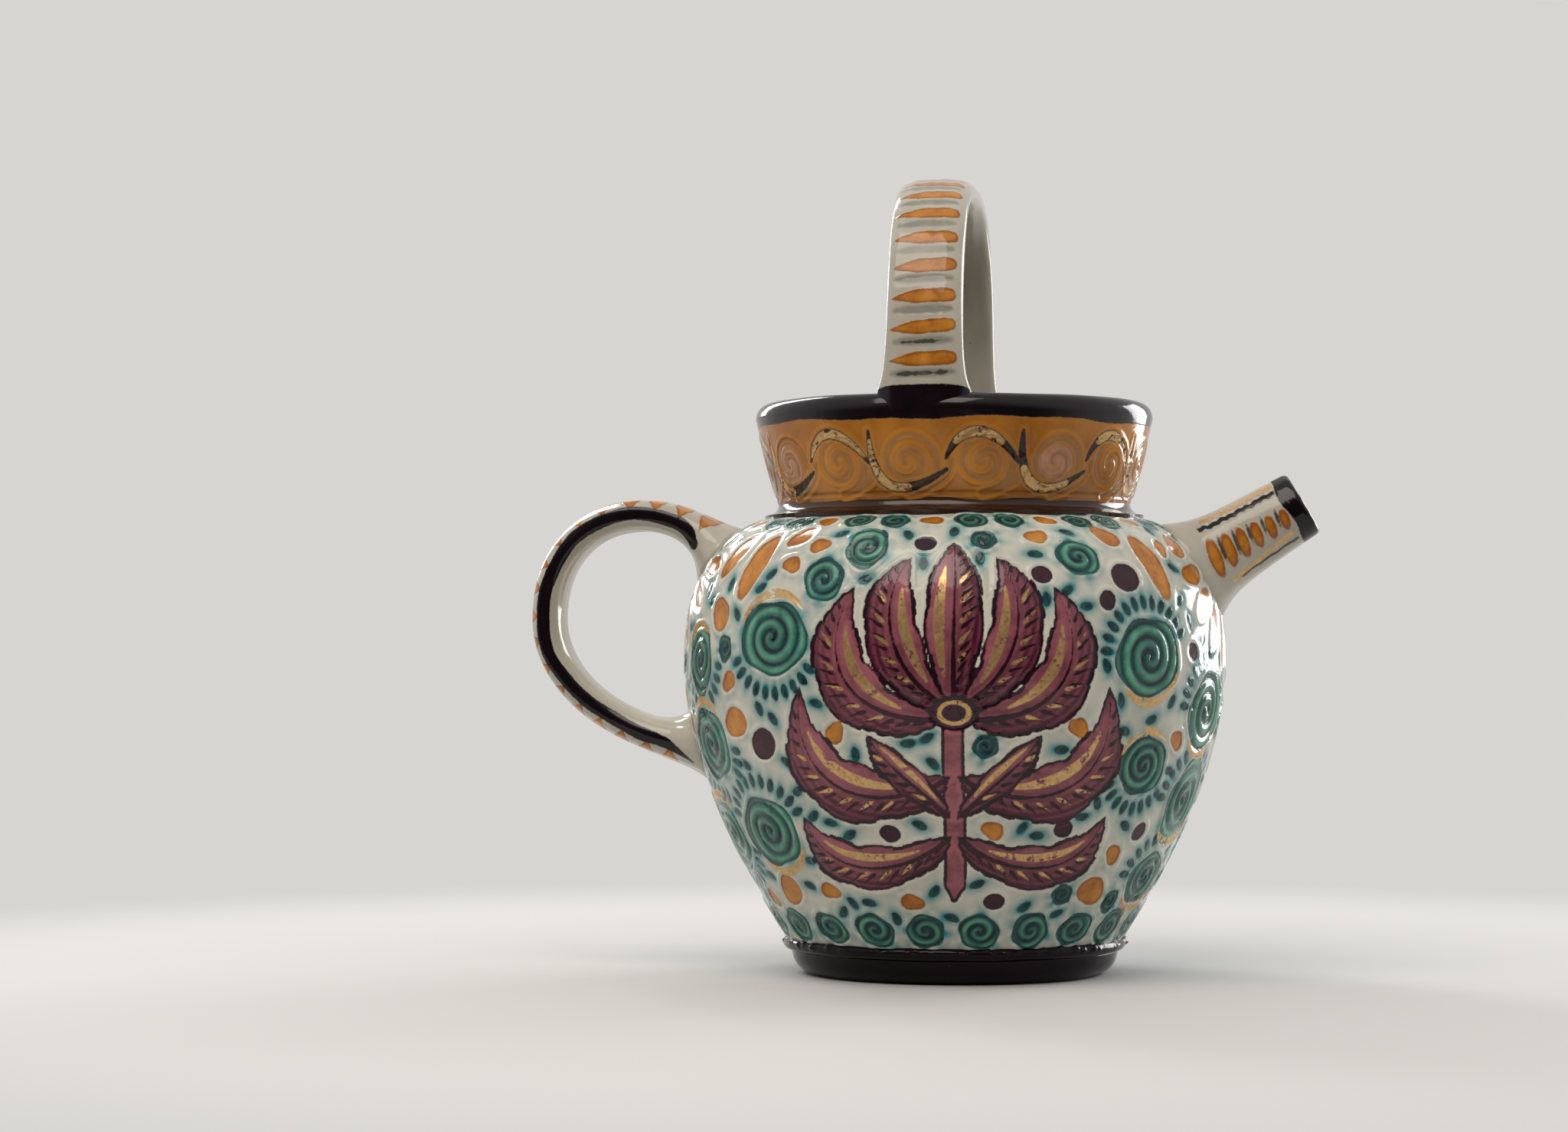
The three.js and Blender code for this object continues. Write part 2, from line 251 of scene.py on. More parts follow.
def sweep(shape, geom, sectors, steps, turn=0.0, climb=0.0):
    """Sweeps edges round Z or along it: one sector in small steps, then copies of that sector."""
    still = {"cent": (0, 0, 0), "axis": (0, 0, 1)}
    rise = climb / sectors
    small = {"angle": turn / sectors, "steps": steps, "dvec": (0, 0, rise / steps)}
    bmesh.ops.spin(shape, geom=geom, **small, **still)
    sector = shape.verts[:] + shape.edges[:] + shape.faces[:]
    copies = sectors - 1
    large = {"angle": turn * copies / sectors, "steps": copies, "dvec": (0, 0, rise)}
    bmesh.ops.spin(shape, geom=sector, use_duplicate=True, **large, **still)
    bmesh.ops.remove_doubles(shape, verts=shape.verts, dist=0.01 * MM)


def outline_rows(radius, height, along):
    """Rows for spun(). A single number stands for a whole column."""
    return np.column_stack(np.broadcast_arrays(radius, height, along))


def spun(name, rows, sectors, steps, closed=True):
    """An outline of (radius, height, place along it) rows, spun round the Z axis."""
    shape = bmesh.new()
    along = shape.verts.layers.float.new("along")
    verts = []
    for radius, height, place in rows:
        vert = shape.verts.new((radius * MM, 0, height * MM))
        vert[along] = place
        verts.append(vert)
    pairs = list(zip(verts, verts[1:]))
    if closed:
        pairs.append((verts[-1], verts[0]))
    edges = [shape.edges.new(pair) for pair in pairs]
    sweep(shape, verts + edges, sectors, steps, turn=math.tau)
    bmesh.ops.recalc_face_normals(shape, faces=shape.faces)
    return finished(shape, name)


def tube(name, around, sectors, steps):
    """A straight unit tube along Z with closed ends, to be bent into a strap."""
    shape = bmesh.new()
    bmesh.ops.create_circle(shape, segments=around, radius=1)
    sweep(shape, shape.verts[:] + shape.edges[:], sectors, steps, climb=1.0)
    bmesh.ops.holes_fill(shape, edges=shape.edges, sides=0)
    bmesh.ops.recalc_face_normals(shape, faces=shape.faces)
    return finished(shape, name)


def numbers_of(data, name, size=3):
    """What a mesh holds for each vertex, as rows of numbers."""
    numbers = np.empty(len(data) * size, np.float32)
    data.foreach_get(name, numbers)
    return numbers.reshape(-1, size).astype(float)


def points_of(piece):
    return numbers_of(piece.data.vertices, "co")


def normals_of(piece):
    return numbers_of(piece.data.vertex_normals, "vector")


def place_points(piece, points):
    piece.data.vertices.foreach_set("co", points.astype(np.float32).ravel())
    piece.data.update()


def wall_gap(points):
    """How far points are outside the belly's wall, below zero inside it."""
    radius, height = np.hypot(points[:, 0], points[:, 1]), points[:, 2]
    outline = belly.points[::4]
    away = np.hypot(radius[:, None] - outline[:, 0], height[:, None] - outline[:, 1]).min(axis=1)
    return np.where(radius < wall_at(height), -away, away)


def spread_root(piece, rows, middle, grow, reach):
    """Spreads a root about its middle where it comes near the wall, as a fillet of clay does."""
    points = points_of(piece) / MM
    root = points[rows].copy()
    way = root - middle
    way /= np.linalg.norm(way, axis=1)[:, None]
    for _ in range(6):
        gap = np.maximum(wall_gap(points[rows]), 0)
        points[rows] = root + way * (grow * np.exp(-gap / reach))[:, None]
    place_points(piece, points * MM)


def seat_root(piece, rows, way, depth):
    """Draws the hidden end of a root out along its way, until it lies no deeper in the wall."""
    points = points_of(piece) / MM
    root = points[rows]
    low, high = np.zeros(len(root)), np.full(len(root), 30.0)
    for _ in range(24):
        middle = (low + high) / 2
        moved = root + way * middle[:, None]
        deep = wall_at(moved[:, 2]) - np.hypot(moved[:, 0], moved[:, 1]) > depth
        low, high = np.where(deep, middle, low), np.where(deep, high, middle)
    low *= 0.96  # a little short, so that no two rows fall together
    points[rows] = root + way * low[:, None]
    place_points(piece, points * MM)


# Painting

class Skin:
    """The points of a surface, the glazes painted on them and the relief pressed into them.

    A place on it is (turn, along): an angle round the piece and a length along its outline.
    Marks are drawn in millimetres about a place, with x to the right and y along the outline.
    """

    def __init__(self, turn, along, radius, glazes, seed):
        self.turn, self.along, self.radius = turn, along, radius
        self.glazes = {glaze: np.full(len(along), BARE) for glaze in glazes}
        self.washes = {}
        self.relief = np.zeros(len(along))
        self.chance = random.Random(seed)

    def near(self, place, reach):
        """The points within reach of a place, with their x and y from it."""
        rows = np.nonzero(np.abs(self.along - place[1]) < reach)[0]
        turn = (self.turn[rows] - place[0] + math.pi) % math.tau - math.pi
        x = turn * self.radius[rows]
        close = np.abs(x) < reach
        rows = rows[close]
        return rows, x[close], self.along[rows] - place[1]

    def lay(self, glaze, rows, distance):
        store = self.glazes[glaze]
        store[rows] = np.minimum(store[rows], distance)

    def clear(self, glazes, rows, distance):
        """Takes glazes, and the relief, off the inside of an edge."""
        for glaze in glazes:
            store = self.glazes[glaze]
            store[rows] = np.maximum(store[rows], -distance)
        self.relief[rows] = np.where(distance < 0, 0, self.relief[rows])

    def wash(self, name, rows, amount):
        """A soft stain from 0 to 1, such as a glaze that has bled."""
        store = self.washes.setdefault(name, np.zeros(len(self.along)))
        store[rows] = np.maximum(store[rows], amount)

    def rim(self, rows, distance, height=0.45, width=0.8):
        """A raised line of clay just outside an edge."""
        raised = height * np.exp(-(((distance - width) / width) ** 2))
        self.relief[rows] = np.maximum(self.relief[rows], raised)

    def press(self, rows, distance, depth, width):
        """A line pressed into the clay, where distance is from its middle."""
        self.relief[rows] -= depth * np.exp(-((distance / width) ** 2))

    def lump(self, seed, height, most, shown=True, count=9):
        """Adds hand-made lumps, and keeps the relief of what is shown under a height."""
        lumps = hand_lumps(self.turn, self.along, seed, height, count)
        self.relief = np.where(shown, np.minimum(self.relief + lumps, most), 0)

    def finish(self, piece, normals=None):
        """Writes the relief and the glazes to the piece."""
        if normals is None:
            normals = normals_of(piece)
        points = points_of(piece) + normals * self.relief[:, None] * MM
        place_points(piece, points)
        attributes = {**self.glazes, **self.washes, "relief": self.relief}
        for name, values in attributes.items():
            layer = piece.data.attributes.new(name, "FLOAT", "POINT")
            layer.data.foreach_set("value", values.astype(np.float32))
        piece.data.set_sharp_from_angle(angle=math.radians(70))


def skin_of(piece, glazes, seed):
    """The skin of a piece that was spun round the Z axis."""
    points = points_of(piece)
    turn = np.arctan2(points[:, 1], points[:, 0])
    radius = np.hypot(points[:, 0], points[:, 1]) / MM
    along = numbers_of(piece.data.attributes["along"].data, "value", 1)[:, 0]
    return Skin(turn, along, radius, glazes, seed)


def tilted(x, y, degrees):
    turn = math.radians(degrees)
    cos, sin = math.cos(turn), math.sin(turn)
    return x * cos + y * sin, y * cos - x * sin


def oval(x, y, length, width):
    """Distance to the edge of an oval that is long in x."""
    share = np.hypot(x / (length / 2), y / (width / 2))
    return (share - 1) * min(length, width) / 2


def stroke(x, y, brush):
    """Distance to the edge of a brush stroke, with the share along it and the side."""
    best = np.full(len(x), 99.0)
    share_along = np.zeros(len(x))
    side = np.zeros(len(x))
    count = len(brush) - 1
    for i, (start, stop) in enumerate(zip(brush, brush[1:])):
        run, rise = stop[0] - start[0], stop[1] - start[1]
        from_x, from_y = x - start[0], y - start[1]
        share = np.clip((from_x * run + from_y * rise) / (run * run + rise * rise), 0, 1)
        gap = np.hypot(from_x - share * run, from_y - share * rise)
        distance = gap - (start[2] + share * (stop[2] - start[2])) / 2
        nearer = distance < best
        best[nearer] = distance[nearer]
        share_along[nearer] = ((i + share) / count)[nearer]
        side[nearer] = np.sign(run * from_y - rise * from_x)[nearer] * gap[nearer]
    return best, share_along, side


def leaf_width(share):
    return np.sin(math.pi * share) ** 0.8


def comma_width(share):
    return np.minimum(1, share / 0.15) ** 0.5 * (1 - share) ** 0.75


def line_width(share):
    return np.minimum(1, np.minimum(share, 1 - share) / 0.1 + 0.3)


def swelling_width(share):
    return 0.3 + 0.7 * leaf_width(share)


def brush(points, width, shape, steps):
    """A brush stroke: (x, y, width) along a Bezier curve."""
    curve = bezier(points, steps)
    return np.column_stack([curve, width * shape(np.linspace(0, 1, steps))])


# Marks painted on the belly, all in millimetres about a place

def bleed(skin, rows, edge, angle, start, amount):
    """Teal that has run out of a mark in streaks."""
    streaks = 0.55 + 0.45 * np.sin(5 * angle + start) * np.sin(3 * angle - 2 * start)
    skin.wash("teal", rows, amount * streaks * np.exp(-np.maximum(edge, 0) / (1.1 + 2.5 * streaks)))


def rosette(skin, place, radius, hand=1):
    """A pool of green with a spiral pressed into it, in a raised ring, bleeding teal."""
    rows, x, y = skin.near(place, radius + 10)
    start = skin.chance.uniform(0, math.tau)
    angle = np.arctan2(y, x) * hand
    away = np.hypot(x, y * skin.chance.uniform(0.9, 1.1))
    lumps = 0.06 * np.sin(2 * angle + start) + 0.04 * np.sin(5 * angle - 2 * start)
    edge = away - radius * (1 + lumps)
    pitch = radius / max(2, round(radius / 3.8))
    winding = away / pitch - (angle + start) / math.tau
    line = np.where(edge < -0.5, np.abs(winding - np.round(winding)) * pitch, pitch / 2)
    heart = np.exp(-((away / (0.45 * radius)) ** 2))
    ring = np.exp(-(((edge + 0.5) / 0.7) ** 2))
    swell = 0.25 * np.sin(2 * angle + 3 * start)
    skin.lay("green", rows, edge)
    skin.lay("ink", rows, np.maximum(line - 0.2 - 0.6 * heart - swell, edge))
    pool = np.exp(-((line / 0.9) ** 2)) + 0.7 * heart + 0.8 * ring
    skin.wash("pool", rows, np.clip(pool, 0, 1) * (edge < 0.6))
    skin.rim(rows, edge)
    skin.press(rows, line, 0.4, 0.7)
    skin.relief[rows] += 0.3 * np.exp(-(((pitch / 2 - line) / 0.6) ** 2)) * (edge < -0.5)
    bleed(skin, rows, edge, angle, start, 1.0)


def amber_pool(skin, place, length, width, tilt):
    """An oval of amber glaze in a raised ring."""
    rows, x, y = skin.near(place, length / 2 + 6)
    start = skin.chance.uniform(0, math.tau)
    x, y = tilted(x, y, tilt)
    angle = np.arctan2(y, x)
    edge = oval(x, y, length, width) + 0.25 * np.sin(3 * angle + start)
    skin.lay("amber", rows, edge)
    skin.rim(rows, edge)
    bleed(skin, rows, np.abs(edge - 1.6), angle, start, 0.35)


def dark_dot(skin, place, radius):
    rows, x, y = skin.near(place, radius + 6)
    start = skin.chance.uniform(0, math.tau)
    edge = np.hypot(x, y) - radius * (1 + 0.07 * np.sin(2 * np.arctan2(y, x) + start))
    skin.lay("plum", rows, edge)
    skin.rim(rows, edge)


def gold_crescent(skin, place, radius, middle, span):
    """A brushed arc of gold about a place."""
    rows, x, y = skin.near(place, radius + 5)
    turn = np.radians(np.linspace(middle - span / 2, middle + span / 2, 11))
    width = 3.2 * leaf_width(np.linspace(0.04, 0.96, 11))
    arc = np.column_stack([radius * np.cos(turn), radius * np.sin(turn), width])
    skin.lay("gold", rows, stroke(x, y, arc)[0])


def tick(skin, place, length, tilt):
    """A short dab of green with a dark heart, bled to teal."""
    rows, x, y = skin.near(place, length / 2 + 6)
    x, y = tilted(x, y, tilt)
    bend = 0.12 * x * x / length
    edge = oval(x, y - bend, length, 0.58 * length)
    skin.lay("green", rows, edge)
    skin.lay("ink", rows, oval(x - 0.2 * length, y - bend, 0.6 * length, 0.3 * length))
    skin.wash("pool", rows, np.clip(0.7 - 0.8 * edge, 0, 1))
    skin.press(rows, np.maximum(edge, 0), 0.2, 0.6)
    skin.wash("teal", rows, 0.9 * np.exp(-np.maximum(edge, 0) / 1.4))


def leaf(skin, place, curve, width, frill, veins, flip=1):
    """A purple leaf or petal over what lies there, dark on one side, with gold on the other."""
    mirrored = [(px * flip, py) for px, py in curve]
    reach = max(math.hypot(px, py) for px, py in mirrored) + width
    rows, x, y = skin.near(place, reach)
    spine = brush(mirrored, width, leaf_width, 18)
    edge, share, side = stroke(x, y, spine)
    edge = edge - frill * np.abs(np.sin(3.5 * math.pi * share)) * np.minimum(1, 4 * (1 - share))
    skin.clear(("plum", "gold"), rows, edge)
    skin.lay("mauve", rows, edge)
    skin.lay("plum", rows, np.abs(edge + 0.35) - 0.35 - 0.4 * np.sin(7 * share) ** 2)
    lean = 0.35 - flip * side / width * 1.5 + 0.7 * (1 - share) ** 3
    streaks = 0.75 + 0.25 * np.sin(2.6 * side + 14 * share)
    shade = skin.washes["shade"]
    shade[rows] = np.where(edge < 0, np.clip(lean * streaks, 0, 1), shade[rows])
    skin.rim(rows, edge)
    skin.relief[rows] += 0.3 * np.clip(-edge / 2.5, 0, 1)
    skin.press(rows, edge + 0.3, 0.25, 0.6)
    vein = spine.copy()
    vein[:, 2] = 1.5 * (1 - np.linspace(0, 1, len(vein))) + 0.2
    skin.lay("plum", rows, np.maximum(stroke(x, y, vein)[0], edge + 0.8))
    for at in np.linspace(1, len(spine) - 3, 2 * veins):
        dark = feather(spine, at, -flip, 0.46, 1.7)
        skin.lay("plum", rows, np.maximum(stroke(x, y, dark)[0], edge + 0.5))
    for at in np.linspace(4, len(spine) - 6, veins - 2):
        gleam = feather(spine, at, -flip, 0.36, 1.6)
        skin.lay("gold", rows, np.maximum(stroke(x, y, gleam)[0], edge + 1.0))
    gleam = offset_line(spine[3:-3], flip * 0.27, 0.2 * width)
    skin.lay("gold", rows, np.maximum(stroke(x, y, gleam)[0], edge + 0.9))


def feather(spine, at, side, share, width):
    """A short brush stroke from the spine of a leaf towards one edge of it."""
    here = np.array([np.interp(at, np.arange(len(spine)), spine[:, i]) for i in range(3)])
    ahead = np.array([np.interp(at + 0.5, np.arange(len(spine)), spine[:, i]) for i in range(2)])
    way = (ahead - here[:2]) / np.linalg.norm(ahead - here[:2])
    out = np.array([-way[1], way[0]]) * side * here[2] * share
    start = here[:2] + out * 0.25
    return brush([start, start + way * 2.5 + out * 0.3, here[:2] + way * 5 + out], width, comma_width, 5)


def offset_line(spine, share, across):
    """A brush stroke beside the spine of a leaf, at a share of its width."""
    step = np.gradient(spine[:, :2], axis=0)
    step /= np.linalg.norm(step, axis=1)[:, None]
    side = np.column_stack([-step[:, 1], step[:, 0]]) * (spine[:, 2] * share)[:, None]
    width = across * leaf_width(np.linspace(0.05, 0.95, len(spine)))
    return np.column_stack([spine[:, :2] + side, width])


def stem(skin, place, curve, width):
    """A purple stem with dark edges."""
    reach = max(math.hypot(px, py) for px, py in curve) + width
    rows, x, y = skin.near(place, reach)
    edge = stroke(x, y, brush(curve, width, line_width, 14))[0]
    skin.lay("mauve", rows, edge)
    skin.lay("plum", rows, np.abs(edge + 0.2) - 0.5)
    skin.rim(rows, edge, 0.35)


# The flower spray: (curve, width, frill, veins) of each leaf, right half, about its middle
spray_petals = [
    ([(3, 2), (32, 0), (46, 20), (31, 43)], 17, 1.4, 7),
    ([(2, 6), (19, 15), (26, 36), (13, 53)], 16, 1.0, 7),
]
spray_leaves = [
    ([(1, -16), (24, -32), (55, -20), (50, 12)], 17, 1.8, 8),
    ([(1, -36), (16, -52), (41, -52), (50, -30)], 14, 1.3, 7),
    ([(1, -30), (10, -20), (22, -12), (27, -3)], 9, 0.6, 4),
]
spray_stem = [(0, -58), (1.5, -36), (-1.5, -14), (0, 6)]
spray_middle = ([(0, 6), (-1, 24), (1, 42), (0, 59)], 17, 0.8, 7)


def spray(skin, place):
    """A symmetrical flower on a stem with curling leaves."""
    stem(skin, place, spray_stem, 6.5)
    for curve, width, frill, veins in spray_leaves + spray_petals:
        for flip in (1, -1):
            leaf(skin, place, curve, width, frill, veins, flip)
    curve, width, frill, veins = spray_middle
    leaf(skin, place, curve, width, frill, veins)
    rows, x, y = skin.near(place, 12)
    cup = oval(x, y - 4, 15, 11)
    skin.clear(("gold",), rows, cup)
    skin.lay("plum", rows, cup)
    skin.rim(rows, cup, 0.5)
    skin.lay("gold", rows, np.abs(cup + 2.2) - 0.6)


# Where the rest of the belly's ornament goes, in millimetres along its wall
spray_height = 81.0
root_room = 17.0  # kept clear round the spout and the roots of the side handle
foot_rosettes = 22
foot_rosette = 6.4
foot_row = 10.5
neck_marks = 36
neck_row = 9.0  # below the throat
shoulder_petals = (  # degrees from the middle of a spray, drop below the throat, length and tilt
    (39, 18, 11, 45),
    (49, 29, 25, 76),
    (59, 25, 18, 62),
)


def radius_at(place):
    """The belly's radius at a place on it."""
    return float(belly.at(place[1])[0])


def beside(place, distance, degrees):
    """The place at a distance and in a direction from another one on the belly."""
    turn = math.radians(degrees)
    across = distance * math.cos(turn) / radius_at(place)
    return place[0] + across, place[1] + distance * math.sin(turn)


class Layout:
    """The places on the belly that are taken, each with the reach of what lies there."""

    def __init__(self, seed):
        self.taken = np.empty((0, 4))
        self.chance = random.Random(seed)

    def hold(self, place, reach):
        self.taken = np.vstack([self.taken, (*place, reach, radius_at(place))])

    def room(self, place, reach):
        """How far a mark of this reach would stay clear of the others."""
        turn, along, other_reach, other_radius = self.taken.T
        swing = (turn - place[0] + math.pi) % math.tau - math.pi
        gap = np.hypot(swing * (radius_at(place) + other_radius) / 2, along - place[1])
        return float(np.min(gap - other_reach - reach))

    def hold_spray(self, place):
        for curve, width, _, _ in spray_leaves + spray_petals + [spray_middle]:
            for flip in (1, -1):
                for x, y, across in brush(curve, width, leaf_width, 9):
                    along = place[1] + y
                    turn = place[0] + flip * x / radius_at((place[0], along))
                    self.hold((turn, along), across / 2 + 0.5)
        for _, y in bezier(spray_stem, 8):
            self.hold((place[0], place[1] + y), 3)

    def scatter(self, reach, tries, gap):
        """Places for marks of one reach, found by chance."""
        found = []
        low, high = reach + 2.5, belly.length - reach - 3
        for _ in range(tries):
            place = (self.chance.uniform(-math.pi, math.pi), self.chance.uniform(low, high))
            if self.room(place, reach) > gap:
                self.hold(place, reach)
                found.append(place)
        return found


def belly_layout():
    """The marks of the belly as (mark, place, sizes), the same for each band of its wall."""
    layout = Layout(7)
    marks = []

    def put(mark, place, reach, *sizes):
        layout.hold(place, reach)
        marks.append((mark, place, sizes))

    def chain(place, radius, middle):
        """An arc of ticks that point at a place."""
        for degrees in np.arange(middle - 75, middle + 76, 235 / radius):
            spot = beside(place, radius, degrees)
            if layout.room(spot, 1.6) > 0:
                put(tick, spot, 1.6, 4.8, degrees)

    def petal(place, length, width, degrees):
        """A long amber oval, which holds its place along its whole length."""
        if layout.room(place, 0.7 * width) <= 0:
            return
        marks.append((amber_pool, place, (length, width, degrees)))
        for step in np.linspace(-0.36, 0.36, 5) * length:
            layout.hold(beside(place, step, degrees), 0.52 * width)

    handle_high = (math.pi, belly.level(throat_level - round(handle_high_drop)))
    handle_low = (math.pi, belly.level(widest_level - round(handle_low_drop)))
    spout_place = (0.0, belly.level(spout_level))
    for place in (handle_high, handle_low, spout_place):
        layout.hold(place, root_room)
    for turn in (front, front + math.pi):
        place = (turn, spray_height)
        layout.hold_spray(place)
        marks.append((spray, place, ()))
    for i in range(foot_rosettes):
        place = (math.tau * (i + 0.3) / foot_rosettes, foot_row)
        if layout.room(place, foot_rosette) > 0:
            put(rosette, place, foot_rosette, foot_rosette, 1 if i % 2 else -1)
    for i in range(neck_marks):
        place = (math.tau * i / neck_marks, belly.length - neck_row)
        if i % 3:
            put(rosette, place, 5, 5.0, 1 if i % 2 else -1)
        else:
            put(amber_pool, place, 4, 7.5, 5.5, layout.chance.uniform(-30, 30))
    for middle, reach in ((spout_place, 28), (handle_high, 34)):
        for degrees in range(-170, -5, 20):
            petal(beside(middle, reach, degrees), 17, 7, degrees)
    for middle in (front, front + math.pi):
        for side in (-1, 1):
            for degrees, down, length, tilt in shoulder_petals:
                place = (middle + side * math.radians(degrees), belly.length - down)
                petal(place, length, 6 + 0.14 * length, 90 + side * (90 - tilt))
    for reach, tries, gap in ((14, 300, 1.2), (11, 600, 1.0), (8.0, 1200, 0.9)):
        for place in layout.scatter(reach, tries, gap):
            hand = layout.chance.choice((-1, 1))
            marks.append((rosette, place, (reach - 0.8, hand)))
            if reach > 9:
                middle = layout.chance.choice((-80, 100))
                marks.append((gold_crescent, place, (reach + 0.2, middle, 120)))
                chain(place, reach + 3.4, middle + 180)
    for i, place in enumerate(layout.scatter(6.4, 2000, 0.6)):
        if i % 3 == 2:
            marks.append((dark_dot, place, (5.2,)))
        else:
            marks.append((amber_pool, place, (12, 9.6, layout.chance.uniform(0, 180))))
    for i, place in enumerate(layout.scatter(4.2, 4000, 0.5)):
        kind = i % 4
        if kind == 0:
            marks.append((dark_dot, place, (3.2,)))
        elif kind == 1:
            marks.append((rosette, place, (3.9,)))
        else:
            marks.append((amber_pool, place, (7.8, 5.8, layout.chance.uniform(0, 180))))
    for place in layout.scatter(2.5, 7000, 0.4):
        marks.append((tick, place, (5.0, layout.chance.uniform(0, 180))))
    return marks


def hand_lumps(turn, along, seed, height, count=9):
    """Uneven, hand-made clay: slow waves that close round the piece."""
    chance = random.Random(seed)
    total = np.zeros(len(along))
    for _ in range(count):
        waves = chance.randint(2, 15)
        slope = chance.uniform(-0.16, 0.16)
        total += np.cos(waves * turn + slope * along + chance.uniform(0, math.tau))
    return height * total / math.sqrt(count)


# Materials

class Value:
    """A number in a material. Arithmetic on it adds Math nodes."""

    def __init__(self, finish, socket):
        self.finish, self.socket = finish, socket

    def __add__(self, other):
        return self.finish.maths("ADD", self, other)

    def __sub__(self, other):
        return self.finish.maths("SUBTRACT", self, other)

    def __mul__(self, other):
        return self.finish.maths("MULTIPLY", self, other)

    def __rsub__(self, other):
        return self.finish.maths("SUBTRACT", other, self)

    __radd__ = __add__
    __rmul__ = __mul__


class Finish:
    """The nodes of a material or of the world."""

    def __init__(self, owner):
        self.owner = owner
        owner.use_nodes = True
        self.tree = owner.node_tree
        self.tree.nodes.clear()

    def add(self, kind, settings, sockets, output=0):
        """A node of any kind: its settings first, then the values or links of its sockets."""
        node = self.tree.nodes.new(kind)
        for name, value in settings.items():
            setattr(node, name, value)
        for name, value in sockets.items():
            socket = name
            if isinstance(name, str):
                socket = next(i for i, s in enumerate(node.inputs) if s.enabled and s.name == name)
            if isinstance(value, Value):
                self.tree.links.new(value.socket, node.inputs[socket])
            else:
                node.inputs[socket].default_value = value
        if isinstance(output, str):
            output = next(i for i, s in enumerate(node.outputs) if s.enabled and s.name == output)
        return Value(self, node.outputs[output]) if node.outputs else None

    def maths(self, operation, first, second):
        return self.add("ShaderNodeMath", {"operation": operation}, {0: first, 1: second})

    def clamped(self, value):
        return self.add("ShaderNodeClamp", {}, {"Value": value})

    def mix(self, factor, first, second):
        colours = [c if isinstance(c, Value) else (*c, 1) for c in (first, second)]
        sockets = {"Factor": factor, "A": colours[0], "B": colours[1]}
        return self.add("ShaderNodeMix", {"data_type": "RGBA"}, sockets, "Result")

    def place(self):
        return self.add("ShaderNodeTexCoord", {}, {}, "Object")

    def painted(self, name):
        return self.add("ShaderNodeAttribute", {"attribute_name": name}, {}, "Fac")

    def noise(self, place, size, detail, roughness=0.55):
        """Noise from 0 to 1 whose marks are about size millimetres across."""
        sockets = {"Vector": place, "Scale": 1 / (size * MM), "Detail": detail, "Roughness": roughness}
        return self.add("ShaderNodeTexNoise", {}, sockets)

    def between(self, value, low, high):
        """0 where value is at low and 1 where it is at high, eased."""
        sockets = {"Value": value, "From Min": low, "From Max": high}
        return self.add("ShaderNodeMapRange", {"interpolation_type": "SMOOTHSTEP"}, sockets)

    def bump(self, height, distance, strength):
        sockets = {"Height": height, "Distance": distance * MM, "Strength": strength}
        return self.add("ShaderNodeBump", {}, sockets, "Normal")

    def shade(self, sockets):
        """Ends the material with a Principled shader."""
        shader = self.add("ShaderNodeBsdfPrincipled", {}, sockets)
        self.add("ShaderNodeOutputMaterial", {}, {"Surface": shader})
        return self.owner


# Colours where a glaze lies thick and where it lies thin
white_ground = ((0.53, 0.50, 0.42), (0.73, 0.69, 0.595))
# the white glaze of the straps and spout, painted darker than white_ground as painted shade
strap_ground_painted_shade = ((0.38, 0.35, 0.285), (0.55, 0.51, 0.43))
green_paint = ((0.002, 0.055, 0.047), (0.14, 0.43, 0.28))
ink_paint = ((0.001, 0.020, 0.026), (0.003, 0.060, 0.066))
amber_paint = ((0.32, 0.095, 0.008), (0.68, 0.28, 0.040))
mauve_paint = ((0.095, 0.015, 0.028), (0.38, 0.12, 0.148))
plum_paint = ((0.014, 0.003, 0.008), (0.060, 0.009, 0.024))
dark_paint = ((0.0020, 0.0006, 0.0015), (0.009, 0.0026, 0.0068))
gold_paint = ((0.30, 0.155, 0.045), (0.88, 0.58, 0.27))
grey_paint = ((0.07, 0.068, 0.058), (0.27, 0.26, 0.225))
clay_ground = ((0.30, 0.13, 0.065), (0.47, 0.23, 0.125))
teal_wash = (0.020, 0.25, 0.26)
pool_wash = (0.002, 0.060, 0.062)
shade_wash = (0.075, 0.007, 0.024)
smear_wash = (0.28, 0.265, 0.22)
brown_paint = ((0.010, 0.004, 0.003), (0.060, 0.022, 0.009))
dark_index = 1.27  # of the dark glaze, which mirrors less than the others


